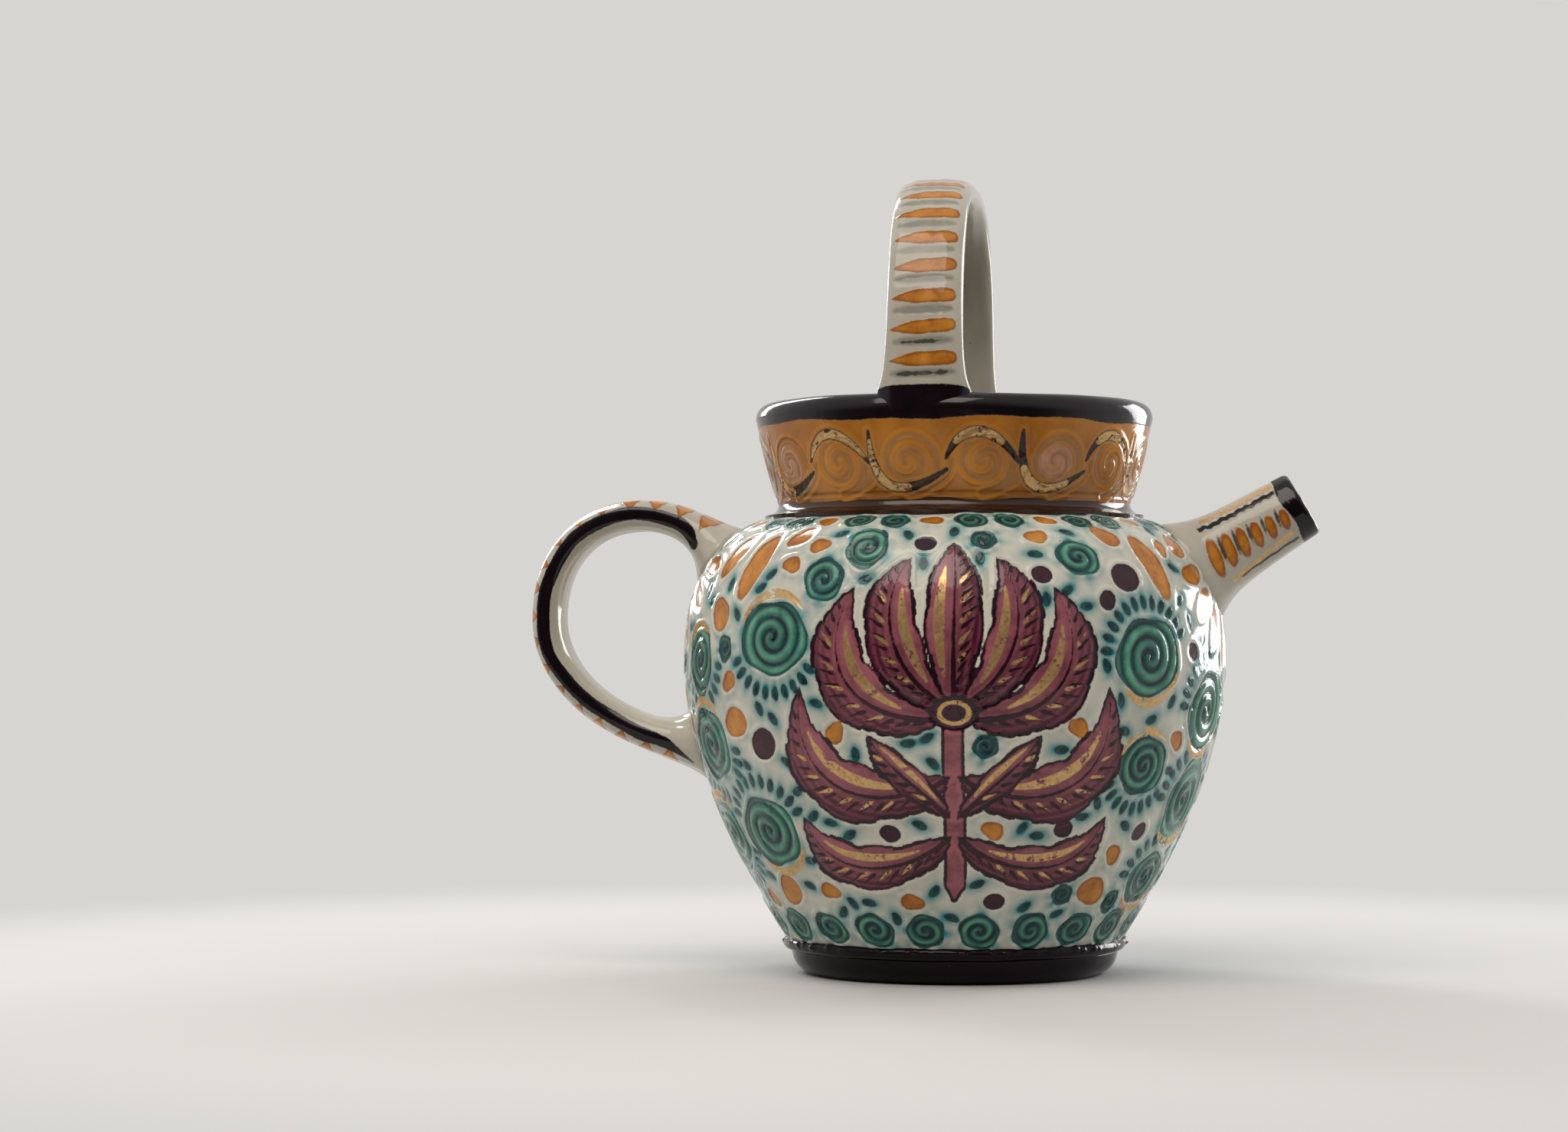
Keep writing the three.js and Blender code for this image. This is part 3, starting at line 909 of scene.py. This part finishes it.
def painted_glaze(name, ground, paints, stains=None, gold=False, lumps=0.06, index=1.42):
    """Glossy glazes over one another. Each of paints is (glaze, colours thick and thin).

    stains gives the wash that darkens a glaze or the ground, with the colour of that wash.
    lumps is the height of the mottled surface in millimetres, and index is that of refraction.
    """
    stains = stains or {}
    finish = Finish(bpy.data.materials.new(name))
    place = finish.place()
    cloud = finish.noise(place, 22, 4)
    mottle = finish.noise(place, 5, 4, 0.6)
    grain = finish.noise(place, 1.3, 2)
    relief = finish.painted("relief")
    wander = (mottle - 0.5) * 0.7 + (grain - 0.5) * 0.5
    thin = finish.clamped(0.5 + relief * 0.9 + (mottle - 0.5) * 1.8 + (cloud - 0.5) * 0.9)

    def stained(colour, glaze):
        if glaze not in stains:
            return colour
        wash, tint = stains[glaze]
        amount = finish.clamped(finish.painted(wash) * (0.25 + mottle * 1.5))
        return finish.mix(amount, colour, tint)

    bare = finish.mix(finish.clamped(0.62 + relief * 0.5 + (cloud - 0.5) * 1.6), *ground)
    colour = stained(bare, "ground")
    thickness = mottle * lumps
    for glaze, colours in paints:
        distance = finish.painted(glaze) + wander
        cover = finish.between(distance, 0.22, -0.22)
        pooled = finish.clamped(thin - finish.between(distance, -1.2, 0.0) * 0.6)
        colour = finish.mix(cover, colour, stained(finish.mix(pooled, *colours), glaze))
        thickness = thickness + cover * 0.08
    speck = finish.between(finish.noise(place, 2.4, 1), 0.79, 0.83)
    colour = finish.mix(speck * 0.7, colour, (0.10, 0.075, 0.05))
    rough = 0.05 + mottle * 0.10
    sockets = {"IOR": index}
    if gold:
        broken = finish.between(mottle + (grain - 0.5) * 0.8, 0.30, 0.46)
        lustre = finish.between(finish.painted("gold") + wander * 1.6, 0.25, -0.2) * broken
        colour = finish.mix(lustre, colour, finish.mix(grain, *gold_paint))
        rough = rough + lustre * 0.16
        sockets["Metallic"] = lustre * 0.6
    normal = finish.bump(thickness + grain * 0.012 + cloud * 0.3, 1.0, 0.7)
    return finish.shade({"Base Color": colour, "Roughness": rough, "Normal": normal, **sockets})


def dress(piece, material, node):
    piece.data.materials.append(material)
    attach(piece, "root")
    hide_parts(node)


# Belly: three bands of one thrown wall, each painted with its share of the ornament

band_names = ("belly_lower_band", "belly_middle_band", "belly_shoulder_band")
band_sectors = 30
band_steps = 30
band_rows = 98
band_inner_rows = 10
belly_glazes = ("green", "ink", "amber", "mauve", "plum", "gold")


def belly_band(name, start, stop, marks, material):
    outside = np.linspace(start, stop, band_rows + 1)
    inside = np.linspace(stop, start, band_inner_rows + 1)
    outer = outline_rows(*belly.inset(outside, relief_room), outside)
    inner = outline_rows(*belly.inset(inside, belly_wall), HIDDEN)
    piece = spun(name, np.concatenate([outer, inner]), band_sectors, band_steps)
    skin = skin_of(piece, belly_glazes, seed=3)
    for wash in ("teal", "pool", "shade"):
        skin.wash(wash, slice(None), 0.0)
    for mark, place, sizes in marks:
        skin.chance.seed(repr(place))
        mark(skin, place, *sizes)
    skin.lump(seed=11, height=0.12, most=relief_room - 0.05, shown=skin.along > HIDDEN)
    skin.finish(piece, belly.normals(np.maximum(skin.along, 0), skin.turn))
    if name == band_names[-1]:
        bore_through(piece)
    dress(piece, material, "belly_wall")


def bore_through(piece):
    """Cuts the spout's bore through the wall."""
    shape = bmesh.new()
    size = {"segments": 48, "radius1": spout_bore * MM, "radius2": spout_bore * MM, "depth": 40 * MM}
    bmesh.ops.create_cone(shape, cap_ends=True, **size)
    bmesh.ops.transform(shape, matrix=spout_tilt, verts=shape.verts)
    drill = finished(shape, "drill")
    bore = piece.modifiers.new("spout_bore", "BOOLEAN")
    bore.object = drill
    bored = piece.evaluated_get(bpy.context.evaluated_depsgraph_get())
    mesh = bpy.data.meshes.new_from_object(bored)
    piece.modifiers.clear()
    piece.data = mesh
    bpy.data.objects.remove(drill)


def make_belly():
    paints = [
        ("green", green_paint),
        ("amber", amber_paint),
        ("mauve", mauve_paint),
        ("ink", ink_paint),
        ("plum", plum_paint),
    ]
    stains = {
        "ground": ("teal", teal_wash),
        "green": ("pool", pool_wash),
        "mauve": ("shade", shade_wash),
    }
    material = painted_glaze("belly_glaze", white_ground, paints, stains, gold=True, lumps=0.14)
    marks = belly_layout()
    ends = np.linspace(0, belly.length, len(band_names) + 1)
    for name, start, stop in zip(band_names, ends, ends[1:]):
        belly_band(name, start, stop, marks, material)


# Collar: amber, with a running scroll pressed into it, gold over the scroll and a dark lip

scroll_count = 16
scroll_height = 15.4
scroll_radius = 10.4
collar_glazes = ("dark", "inside", "scroll", "smoke", "pink_oval", "gold")
collar_ground = ((0.18, 0.048, 0.004), (0.64, 0.255, 0.034))
# the pale pink of an oval laid under some spirals of the scroll
pink_oval_paint = ((0.42, 0.17, 0.07), (0.60, 0.31, 0.17))
scroll_paint = ((0.36, 0.175, 0.055), (0.64, 0.38, 0.17))
smoke_paint = ((0.018, 0.008, 0.004), (0.06, 0.025, 0.010))


def scroll_wave(pitch):
    """One spiral of the running scroll and the tail that leads to the next."""
    turn = np.linspace(0.9 * math.pi, 4.5 * math.pi, 40)
    share = (turn - turn[0]) / (turn[-1] - turn[0])
    radius = 1.0 + (scroll_radius - 1.0) * share**0.9
    spiral = np.column_stack([radius * np.cos(-turn), radius * np.sin(-turn)])
    tail = bezier([(0, -scroll_radius), (6, -9), (pitch * 0.55, -6), (pitch - scroll_radius, 0)], 8)
    line = np.concatenate([spiral, tail[1:]])
    return np.column_stack([line, np.full(len(line), 0.9)])


def gold_wave(skin, place, pitch, under):
    """A dark brush stroke that swings under or over a spiral, with gold over most of it."""
    rows, x, y = skin.near(place, pitch)
    below = [(-0.53, 10.0), (-0.52, -9.5), (-0.15, -13.0), (0.50, -2.5)]
    above = [(-0.50, 1.0), (-0.36, 12.0), (0.10, 13.0), (0.45, 0.0)]
    swing = [(across * pitch, rise) for across, rise in (below if under else above)]
    wave = brush(swing, 3.6, swelling_width, 20)
    start, stop = skin.chance.randint(0, 5), skin.chance.randint(12, 20)
    edge = stroke(x, y, wave)[0]
    skin.lay("smoke", rows, edge)
    skin.lay("gold", rows, stroke(x, y, wave[start:stop])[0] + 0.3)
    skin.rim(rows, edge, 0.25, 0.6)


def make_collar():
    outside = np.linspace(0, collar_outside, 70)[:-1]
    lip = np.linspace(collar_outside, lip_over, 25)[:-1]
    inside = np.linspace(lip_over, collar.length, 14)
    along = np.concatenate([outside, lip, inside])
    rows = outline_rows(*collar.inset(along, collar_room), along)
    piece = spun("collar", rows, sectors=20, steps=40)
    skin = skin_of(piece, collar_glazes, seed=5)
    turn, along = skin.turn, skin.along
    pitch = math.tau * (collar_foot_radius + rim_radius) / 2 / scroll_count
    wave = scroll_wave(pitch)
    for i in range(scroll_count):
        place = (front + math.tau * (i + 0.4) / scroll_count, scroll_height)
        rows, x, y = skin.near(place, pitch + 3)
        groove = stroke(x, y, wave)[0]
        skin.lay("scroll", rows, groove)
        skin.press(rows, np.maximum(groove + 0.3, 0), 0.5, 0.6)
        skin.rim(rows, groove - 0.8, 0.3, 0.6)
        # a pale pink oval under every sixth spiral
        if i % 6 == 1:
            skin.lay("pink_oval", rows, oval(x, y, 14, 13))
        gold_wave(skin, place, pitch, i % 2)
    lower = collar_outside - 3.0 + 0.45 * np.sin(5 * turn + 1) + 0.3 * np.sin(13 * turn)
    upper = lip_over + 7 + 0.8 * np.sin(7 * turn)
    skin.lay("dark", slice(None), np.maximum(lower - along, along - upper))
    skin.lay("inside", slice(None), upper - along)
    skin.press(slice(None), along - 5.4, 0.3, 0.5)
    skin.lump(seed=21, height=0.1, most=collar_room - 0.05)
    skin.finish(piece, collar.normals(along, turn))
    paints = [
        ("pink_oval", pink_oval_paint),
        ("scroll", scroll_paint),
        ("smoke", smoke_paint),
        ("inside", white_ground),
        ("dark", dark_paint),
    ]
    material = painted_glaze("collar_glaze", collar_ground, paints, gold=True)
    dress(piece, material, "collar")


# Seams and foot: dark, very glossy glaze over lumpy rolls of clay

seam_sink = 0.25  # as relief_room, on the seams


def make_neck_ring():
    """A hollow fillet between the collar and the shoulder, brown where its glaze is thin."""
    low, high, reach = ring_low[2], ring_high[2], ring_high[0]
    turn = np.linspace(0, math.pi / 2, 14)
    fall = (high - 0.3 - low - 0.7) * np.cos(turn)
    hollow = np.column_stack([reach - (reach - ring_throat) * np.sin(turn), high - 0.3 - fall])
    corner = np.array([[ring_inside, high], [ring_inside, low - 1.0], [reach - 0.3, low - 1.0]])
    outline = np.concatenate([hollow, corner])
    rows = outline_rows(*outline.T, np.arange(len(outline)))
    piece = spun("neck_seam_coil", rows, sectors=24, steps=15)
    skin = skin_of(piece, (), seed=6)
    skin.relief = hand_lumps(skin.turn, skin.along, 31, 0.12) - seam_sink
    skin.finish(piece)
    dress(piece, painted_glaze("neck_ring_glaze", brown_paint, []), "neck_seam_coil")


def make_foot_coil():
    """The roll above the foot, with small beads of glaze on it."""
    turn = np.linspace(0, math.tau, 22, endpoint=False)
    radius = foot_coil_middle + foot_coil_radius * np.cos(turn)
    height = foot_coil_level + foot_coil_radius * np.sin(turn)
    rows = outline_rows(radius, height, turn * foot_coil_radius)
    piece = spun("foot_seam_coil", rows, sectors=24, steps=25)
    skin = skin_of(piece, (), seed=8)
    for _ in range(90):
        place = (skin.chance.uniform(-math.pi, math.pi), skin.chance.uniform(-0.6, 2.6))
        rows, x, y = skin.near(place, 3)
        size = skin.chance.uniform(0.4, 1.2)
        bead = 0.7 * size * np.exp(-((x / size) ** 2 + (y / size) ** 2))
        skin.relief[rows] = np.maximum(skin.relief[rows], bead)
    skin.relief += hand_lumps(skin.turn, skin.along, 41, 0.1) - seam_sink
    skin.finish(piece)
    material = painted_glaze("seam_glaze", dark_paint, [], index=dark_index)
    dress(piece, material, "foot_seam_coil")


def make_base():
    """The foot: glazed round its edge, bare clay with turning marks underneath."""
    flat = foot_radius - foot_edge
    under = np.column_stack([np.linspace(0, flat, 60), np.zeros(60)])
    turn = np.linspace(0, math.pi / 2, 18)[1:]
    edge = np.column_stack([flat + foot_edge * np.sin(turn), foot_height * (1 - np.cos(turn))])
    seat = foot_height + 0.4
    top = np.array([[foot_radius - 0.6, seat], [floor_radius, seat], [floor_radius, floor_level]])
    floor = np.column_stack([np.linspace(floor_radius - 0.6, 0, 24), np.full(24, floor_level)])
    outline = Outline(np.concatenate([under, edge, top, floor]))
    rows = outline_rows(*outline.points.T, outline.along)
    piece = spun("base_slab", rows, sectors=24, steps=10, closed=False)
    skin = skin_of(piece, ("clay", "inside"), seed=9)
    turn, along = skin.turn, skin.along
    glaze_end = outline.along[len(under) + len(edge)] + 1
    skin.lay("clay", slice(None), along - flat - 0.5 + 0.5 * np.sin(6 * turn))
    skin.lay("inside", slice(None), glaze_end - along)
    rings = 0.14 * (1 + np.cos(skin.radius * math.tau / 4.1 + turn))
    glazed = (along > flat) & (points_of(piece)[:, 2] < foot_edge * MM)
    lumps = 0.12 + hand_lumps(turn, along, 51, 0.1)
    skin.relief = np.where(along < flat - 5, -rings, 0) - np.where(glazed, lumps, 0)
    skin.finish(piece)
    paints = [("clay", clay_ground), ("inside", white_ground)]
    material = painted_glaze("foot_glaze", dark_paint, paints, index=dark_index)
    dress(piece, material, "base_slab")


# Straps: the bail and the side handle, pulled from clay and painted across

strap_glazes = ("amber", "grey", "dark", "gold")
strap_around = 104  # points round a strap's mesh
strap_sectors = 20
strap_steps = 20
section_points = 720
strap_relief = 0.12  # how high lumps and rims may stand
dash_pitch = 9.6  # of the bail's amber dashes
worn_above = 30.0  # length from the bail's feet past which its grey lines are worn to a smear
triangle_pitch = 7.6  # of the side handle's amber triangles, at least
triangle_inset = 7.0  # from the side handle's roots


def squared(value):
    """Makes the sine or cosine of a circle into that of a rounded square."""
    return np.sign(value) * np.abs(value) ** strap_power


def section_curve(half_width, half_thickness):
    """The strap's section from its outer middle round through +across, by arc length."""
    turn = math.pi / 2 - np.linspace(0, math.tau, section_points)
    across = half_width * squared(np.cos(turn))
    out = half_thickness * squared(np.sin(turn))
    length = np.concatenate([[0], np.cumsum(np.hypot(np.diff(across), np.diff(out)))])
    return length, across / half_width, out / half_thickness


def strap(name, path, across_axis, half_width, half_thickness):
    """A tube with a strap's section, bent along a path.

    Gives the piece, its skin, its length and the point of the path at each vertex.
    """
    piece = tube(name, strap_around, strap_sectors, strap_steps)
    unit = points_of(piece)
    steps = np.linalg.norm(np.diff(path, axis=0), axis=1)
    distance = np.concatenate([[0], np.cumsum(steps)])
    along = unit[:, 2] * distance[-1]
    tangents = np.gradient(path, distance, axis=0)
    middle = np.column_stack([np.interp(along, distance, path[:, i]) for i in range(3)])
    tangent = np.column_stack([np.interp(along, distance, tangents[:, i]) for i in range(3)])
    tangent /= np.linalg.norm(tangent, axis=1)[:, None]
    outward = np.cross(np.array(across_axis, float), tangent)
    length, across, out = section_curve(half_width, half_thickness)
    turn = np.arctan2(unit[:, 1], unit[:, 0])
    round_place = (turn % math.tau) / math.tau * length[-1]
    side = np.interp(round_place, length, across) * half_width
    rise = np.interp(round_place, length, out) * half_thickness
    points = middle + np.array(across_axis, float) * side[:, None] + outward * rise[:, None]
    place_points(piece, points * MM)
    radius = np.full(len(along), length[-1] / math.tau)
    return piece, Skin(turn, along, radius, strap_glazes, seed=13), distance[-1], middle


def dash_width(share):
    """Round at its start, drawn out to a point at its end."""
    return np.minimum(1, share / 0.1) ** 0.5 * np.minimum(1, (1 - share) / 0.35) ** 0.8


def lozenge_width(share):
    return np.minimum(1, 4.5 * np.minimum(share, 1 - share)) ** 0.9


def make_bail(material):
    turn = np.linspace(0, math.pi, 700)
    rise = bail_high[2] - bail_half_thickness - lip_level + bail_seat
    height = lip_level - bail_seat + rise * squared(np.sin(turn))
    path = outline_rows(bail_shift, lip_middle * -squared(np.cos(turn)), height)
    section = (bail_half_width - strap_room, bail_half_thickness - strap_room)
    piece, skin, length, middle = strap("bail_handle", path, (1, 0, 0), *section)
    from_foot = np.minimum(skin.along, length - skin.along)
    foot = np.exp(-np.maximum(from_foot - bail_seat, 0) / bail_flare_length)
    points = points_of(piece) / MM
    away = points - middle
    away[:, 0] *= 1 + bail_foot_flare * foot
    away[:, 1] *= 1 - bail_foot_squeeze * foot
    away[:, 1] -= np.sign(points[:, 1]) * foot * away[:, 0] ** 2 / (2 * lip_middle)
    place_points(piece, (middle + away) * MM)
    count = round((length - 2 * bail_seat - 20) / dash_pitch)
    for i in range(count + 1):
        along = length / 2 + (i - count / 2) * dash_pitch
        rows, x, y = skin.near((0.0, along), 16)
        lift = 0.8 + skin.chance.uniform(-0.4, 0.5)
        up = 1 if along < length / 2 else -1
        reach = 10.6 + skin.chance.uniform(-0.5, 0.6)
        dab = brush([(9.6, up * lift), (2, up * 0.2), (-reach, -up * 0.5)], 4.4, dash_width, 14)
        skin.lay("amber", rows, stroke(x, y, dab)[0])
        line = brush([(-8.8, -up * 4.5), (0, -up * 4.3), (8.6, -up * 3.8)], 1.5, line_width, 6)
        smear = stroke(x, y, line)[0]
        skin.wash("smear", rows, np.exp(-((np.maximum(smear, 0) / 0.6) ** 2)))
        skin.press(rows, np.maximum(smear, 0), 0.16, 0.7)
        if min(along, length - along) < worn_above:
            ragged = [skin.chance.uniform(-0.1, 0.6) for _ in range(19)]
            skin.lay("grey", rows, smear + np.interp(x, np.arange(-9, 10), ragged))
    x = skin.turn * skin.radius
    mound = 0.3 + 1.5 * np.exp(-((x / 12) ** 6))
    skin.lay("dark", slice(None), from_foot - bail_seat - mound)
    skin.lump(seed=61, height=0.1, most=strap_relief, count=12)
    skin.finish(piece)
    dress(piece, material, "bail_handle")


def make_side_handle(material):
    def leaving(degrees):
        turn = math.radians(degrees)
        return np.array([-math.cos(turn), 0, math.sin(turn)])

    def root(level):
        return np.array([-wall_at(level), 0, level])

    high, low = root(throat_level - handle_high_drop), root(widest_level - handle_low_drop)
    side = np.array([-belly_radius - handle_reach, 0, widest_level + handle_reach_rise])
    high_way, low_way = leaving(handle_high_angle), leaving(handle_low_angle)
    up = np.array([0, 0, 1.0])
    upper = bezier([high, high + high_way * handle_high_pull, side + up * handle_up_pull, side], 200)
    lower = bezier([side, side - up * handle_down_pull, low + low_way * handle_low_pull, low], 200)
    starting = np.linspace(high - high_way * handle_sink, high, 30)[:-1]
    ending = np.linspace(low, low - low_way * handle_sink, 30)[1:]
    path = np.concatenate([starting, upper, lower[1:], ending])
    section = (handle_half_width - strap_room, handle_half_thickness - strap_room)
    piece, skin, length, middle = strap("side_handle", path, (0, 1, 0), *section)
    quarter = skin.radius[0] * math.pi / 2
    first, last = handle_sink + 6, length - handle_sink + 1
    hook = -3.0 * np.clip((first + 10 - skin.along) / 10, 0, 1) ** 2
    hook += 4.5 * np.clip((skin.along - last + 15) / 15, 0, 1) ** 2
    for turn in (math.pi / 2, -math.pi / 2):
        x = ((skin.turn - turn + math.pi) % math.tau - math.pi) * quarter / (math.pi / 2)
        x += math.copysign(1, turn) * hook
        wave = 0.35 * np.sin(skin.along / 9) + 0.2 * np.sin(skin.along / 3.3 + turn)
        half = 0.7 + 1.6 * np.clip((last - skin.along) / 16, 0, 1)
        beyond = np.maximum(np.maximum(first - skin.along, skin.along - last), 0)
        skin.lay("dark", slice(None), np.hypot(x + wave, beyond) - half)
    span = length - 2 * handle_sink - 2 * triangle_inset
    count = int(span / triangle_pitch)
    for i in range(count + 1):
        rows, x, y = skin.near((0.0, handle_sink + triangle_inset + i * span / count), 18)
        lean = skin.chance.uniform(-0.6, 0.6)
        dab = brush([(-13.4, -lean), (0, 0), (13.4, lean)], 5.2, lozenge_width, 10)
        skin.lay("amber", rows, stroke(x, y, dab)[0])
    skin.lump(seed=71, height=0.1, most=strap_relief, count=12)
    skin.finish(piece)
    spread_root(piece, slice(None), middle, handle_root_spread, handle_root_reach)
    upper_half = skin.along < length / 2
    seat_root(piece, upper_half, high_way, wall_seat)
    seat_root(piece, ~upper_half, low_way, wall_seat)
    dress(piece, material, "side_handle")


# Spout: a turned tube with a dark tip and rows of dabs along its sides

def spout_outline():
    """Up the outside from the hidden root, round the tip and down the bore."""
    hidden = np.linspace(-spout_sink, 0, 12)[:-1]
    along = np.concatenate([hidden, np.linspace(0, spout_length - spout_lip, 96)])
    taper = (spout_root_radius - spout_tip_radius) / spout_length
    outer = outline_rows(spout_root_radius - taper * np.maximum(along, 0) - strap_room, along, along)
    turn = np.linspace(0, math.pi / 2, 9)[1:]
    tip = spout_tip_radius - strap_room - spout_lip * (1 - np.cos(turn))
    height = spout_length - spout_lip * (1 - np.sin(turn))
    lip = outline_rows(tip, height, height)
    edge = spout_bore + spout_mouth * (1 - np.sin(turn))
    mouth = outline_rows(edge, spout_length - spout_mouth * (1 - np.cos(turn)), spout_length)
    bore = outline_rows(spout_bore, np.linspace(spout_length - 2, -spout_sink, 14), HIDDEN)
    return np.concatenate([outer, lip, mouth, bore])


def make_spout(material):
    piece = spun("spout", spout_outline(), sectors=16, steps=12)
    skin = skin_of(piece, strap_glazes, seed=15)
    skin.lay("dark", slice(None), spout_length - 6 + 0.5 * np.sin(4 * skin.turn) - skin.along)
    for side in (-1, 1):
        for i in range(6):
            share = i / 5
            place = (side * math.radians(86 - 6 * share), 4.0 + 25 * share)
            rows, x, y = skin.near(place, 12)
            x, y = tilted(x, y, side * 10)
            skin.lay("amber", rows, oval(x, y, 13 - 6 * share, 4.1 - 0.9 * share))
            skin.lay("grey", rows, oval(x - side * 2.0, y - 2.9, 8.5 - 3.5 * share, 1.1))
        rows, x, y = skin.near((side * math.radians(132), 17.0), 20)
        ragged = 0.3 * np.sin(y * 2.1) + 0.2 * np.sin(y * 0.9)
        line = np.maximum(np.abs(x + ragged) - 0.95, np.abs(y) - 13.5)
        skin.lay("dark", rows, line)
        skin.press(rows, np.maximum(line, 0), 0.25, 0.7)
        skin.lay("gold", rows, np.maximum(np.abs(x - side * 3.4 + ragged) - 1.5, np.abs(y - 1) - 13))
        rows, x, y = skin.near((side * math.radians(38), 17.0), 20)
        skin.lay("gold", rows, np.maximum(np.abs(x - side * 1.9 + 0.1 * y) - 0.9, np.abs(y) - 12))
        skin.lay("grey", rows, np.maximum(np.abs(x + 0.2 * np.sin(y)) - 0.55, np.abs(y - 2) - 11))
    shown = skin.along > HIDDEN
    skin.lump(seed=81, height=0.08, most=strap_relief, shown=shown)
    skin.finish(piece)
    piece.data.transform(spout_tilt)
    way = np.array([math.cos(spout_slope), 0, math.sin(spout_slope)])
    root = np.array(spout_root.translation) / MM
    from_root = points_of(piece) / MM - root
    middle = root + way * (from_root @ way)[:, None]
    spread_root(piece, shown, middle[shown], spout_root_spread, spout_root_reach)
    seat_root(piece, slice(None), way, wall_seat)
    dress(piece, material, "spout")


def make_straps_and_spout():
    paints = [("amber", amber_paint), ("grey", grey_paint), ("dark", dark_paint)]
    stains = {"ground": ("smear", smear_wash)}
    # the ground of the bail, side handle and spout is the white glaze, darkened as painted shade
    material = painted_glaze("strap_glaze", strap_ground_painted_shade, paints, stains, gold=True)
    make_bail(material)
    make_side_handle(material)
    make_spout(material)


make_belly()
make_collar()
make_neck_ring()
make_foot_coil()
make_base()
make_straps_and_spout()


# Stage: a pale floor, soft lamps and the camera at the photograph's angle

backdrop_colour = (0.68, 0.665, 0.645)
floor_colour = (0.57, 0.56, 0.545)
stage_radius = 0.5  # metres
pale_light = (0.70, 0.71, 0.72)
dim_light = (0.085, 0.078, 0.068)
warm_light = (1.0, 0.92, 0.82)


def backdrop_rays(finish, share=1.0):
    """1 for rays that meet the backdrop: the camera's, and by a share those of gloss and glass."""
    camera = finish.add("ShaderNodeLightPath", {}, {}, "Is Camera Ray")
    gloss = finish.add("ShaderNodeLightPath", {}, {}, "Is Glossy Ray")
    glass = finish.add("ShaderNodeLightPath", {}, {}, "Is Transmission Ray")
    return finish.clamped(camera + (gloss + glass) * share)


def make_stage():
    shape = bmesh.new()
    bmesh.ops.create_circle(shape, cap_ends=True, segments=96, radius=stage_radius)
    floor = finished(shape, "floor")
    finish = Finish(bpy.data.materials.new("pale_floor"))
    paint = {"Base Color": (*floor_colour, 1), "Roughness": 0.8}
    sheet = finish.add("ShaderNodeBsdfPrincipled", {}, paint)
    far = finish.add("ShaderNodeVectorMath", {"operation": "LENGTH"}, {0: finish.place()}, "Value")
    haze = finish.add("ShaderNodeEmission", {}, {"Color": (*backdrop_colour, 1)})
    factor = finish.between(far, 0.3, stage_radius - 0.01) * backdrop_rays(finish)
    ground = finish.add("ShaderNodeMixShader", {}, {0: factor, 1: sheet, 2: haze})
    finish.add("ShaderNodeOutputMaterial", {}, {"Surface": ground})
    floor.data.materials.append(finish.owner)


def make_world():
    """Surroundings that are dim behind the camera and light elsewhere."""
    world = bpy.data.worlds.new("pale_surroundings")
    bpy.context.scene.world = world
    finish = Finish(world)
    way = finish.add("ShaderNodeTexCoord", {}, {}, "Generated")
    back = finish.add("ShaderNodeSeparateXYZ", {}, {"Vector": way}, "Y")
    high = finish.add("ShaderNodeSeparateXYZ", {}, {"Vector": way}, "Z")
    glow = finish.between(back * 0.8 + high * 0.5, -0.65, 0.25)
    light = finish.mix(glow, dim_light, pale_light)
    around = finish.add("ShaderNodeBackground", {}, {"Color": light})
    seen = finish.add("ShaderNodeBackground", {}, {"Color": (*backdrop_colour, 1)})
    sky = finish.add("ShaderNodeMixShader", {}, {0: backdrop_rays(finish, glow), 1: around, 2: seen})
    finish.add("ShaderNodeOutputWorld", {}, {"Surface": sky})


def lamp(name, place, aim, size, power, colour=(1, 1, 1)):
    light = bpy.data.lights.new(name, "AREA")
    light.shape = "RECTANGLE"
    light.size, light.size_y = size
    light.energy = power
    light.color = colour
    holder = bpy.data.objects.new(name, light)
    holder.location = place
    way = Vector(aim) - Vector(place)
    holder.rotation_euler = way.to_track_quat("-Z", "Y").to_euler()
    bpy.context.collection.objects.link(holder)


def make_camera():
    """The photograph is 2048 by 1478 pixels. Its focal length is taken as 4800 pixels."""
    image_width, focal_pixels = 2048, 4800
    axis_right, horizon_down = 222, 111  # pixels from the middle of the frame
    distance, height, azimuth = 1.2, 0.1044, math.radians(5.5)
    camera = bpy.data.cameras.new("camera")
    camera.sensor_width = 36
    camera.lens = focal_pixels / image_width * camera.sensor_width
    holder = bpy.data.objects.new("camera", camera)
    holder.location = (distance * math.sin(azimuth), -distance * math.cos(azimuth), height)
    heading = azimuth + math.atan(axis_right / focal_pixels)
    way = Vector((-math.sin(heading), math.cos(heading), horizon_down / focal_pixels))
    holder.rotation_euler = way.to_track_quat("-Z", "Y").to_euler()
    bpy.context.collection.objects.link(holder)
    bpy.context.scene.camera = holder


make_stage()
make_world()
lamp("window", place=(0.85, 0.95, 0.38), aim=(0, 0, 0.12), size=(0.6, 0.7), power=9)
lamp("back_window", place=(-0.7, 0.85, 0.7), aim=(0, 0, 0.12), size=(0.22, 0.9), power=6)
lamp(
    "ceiling_lamp",
    place=(-0.3, -0.9, 1.5),
    aim=(0, 0, 0.1),
    size=(1.4, 1.0),
    power=16,
    colour=warm_light,
)
make_camera()
bpy.context.scene.view_settings.view_transform = "Standard"
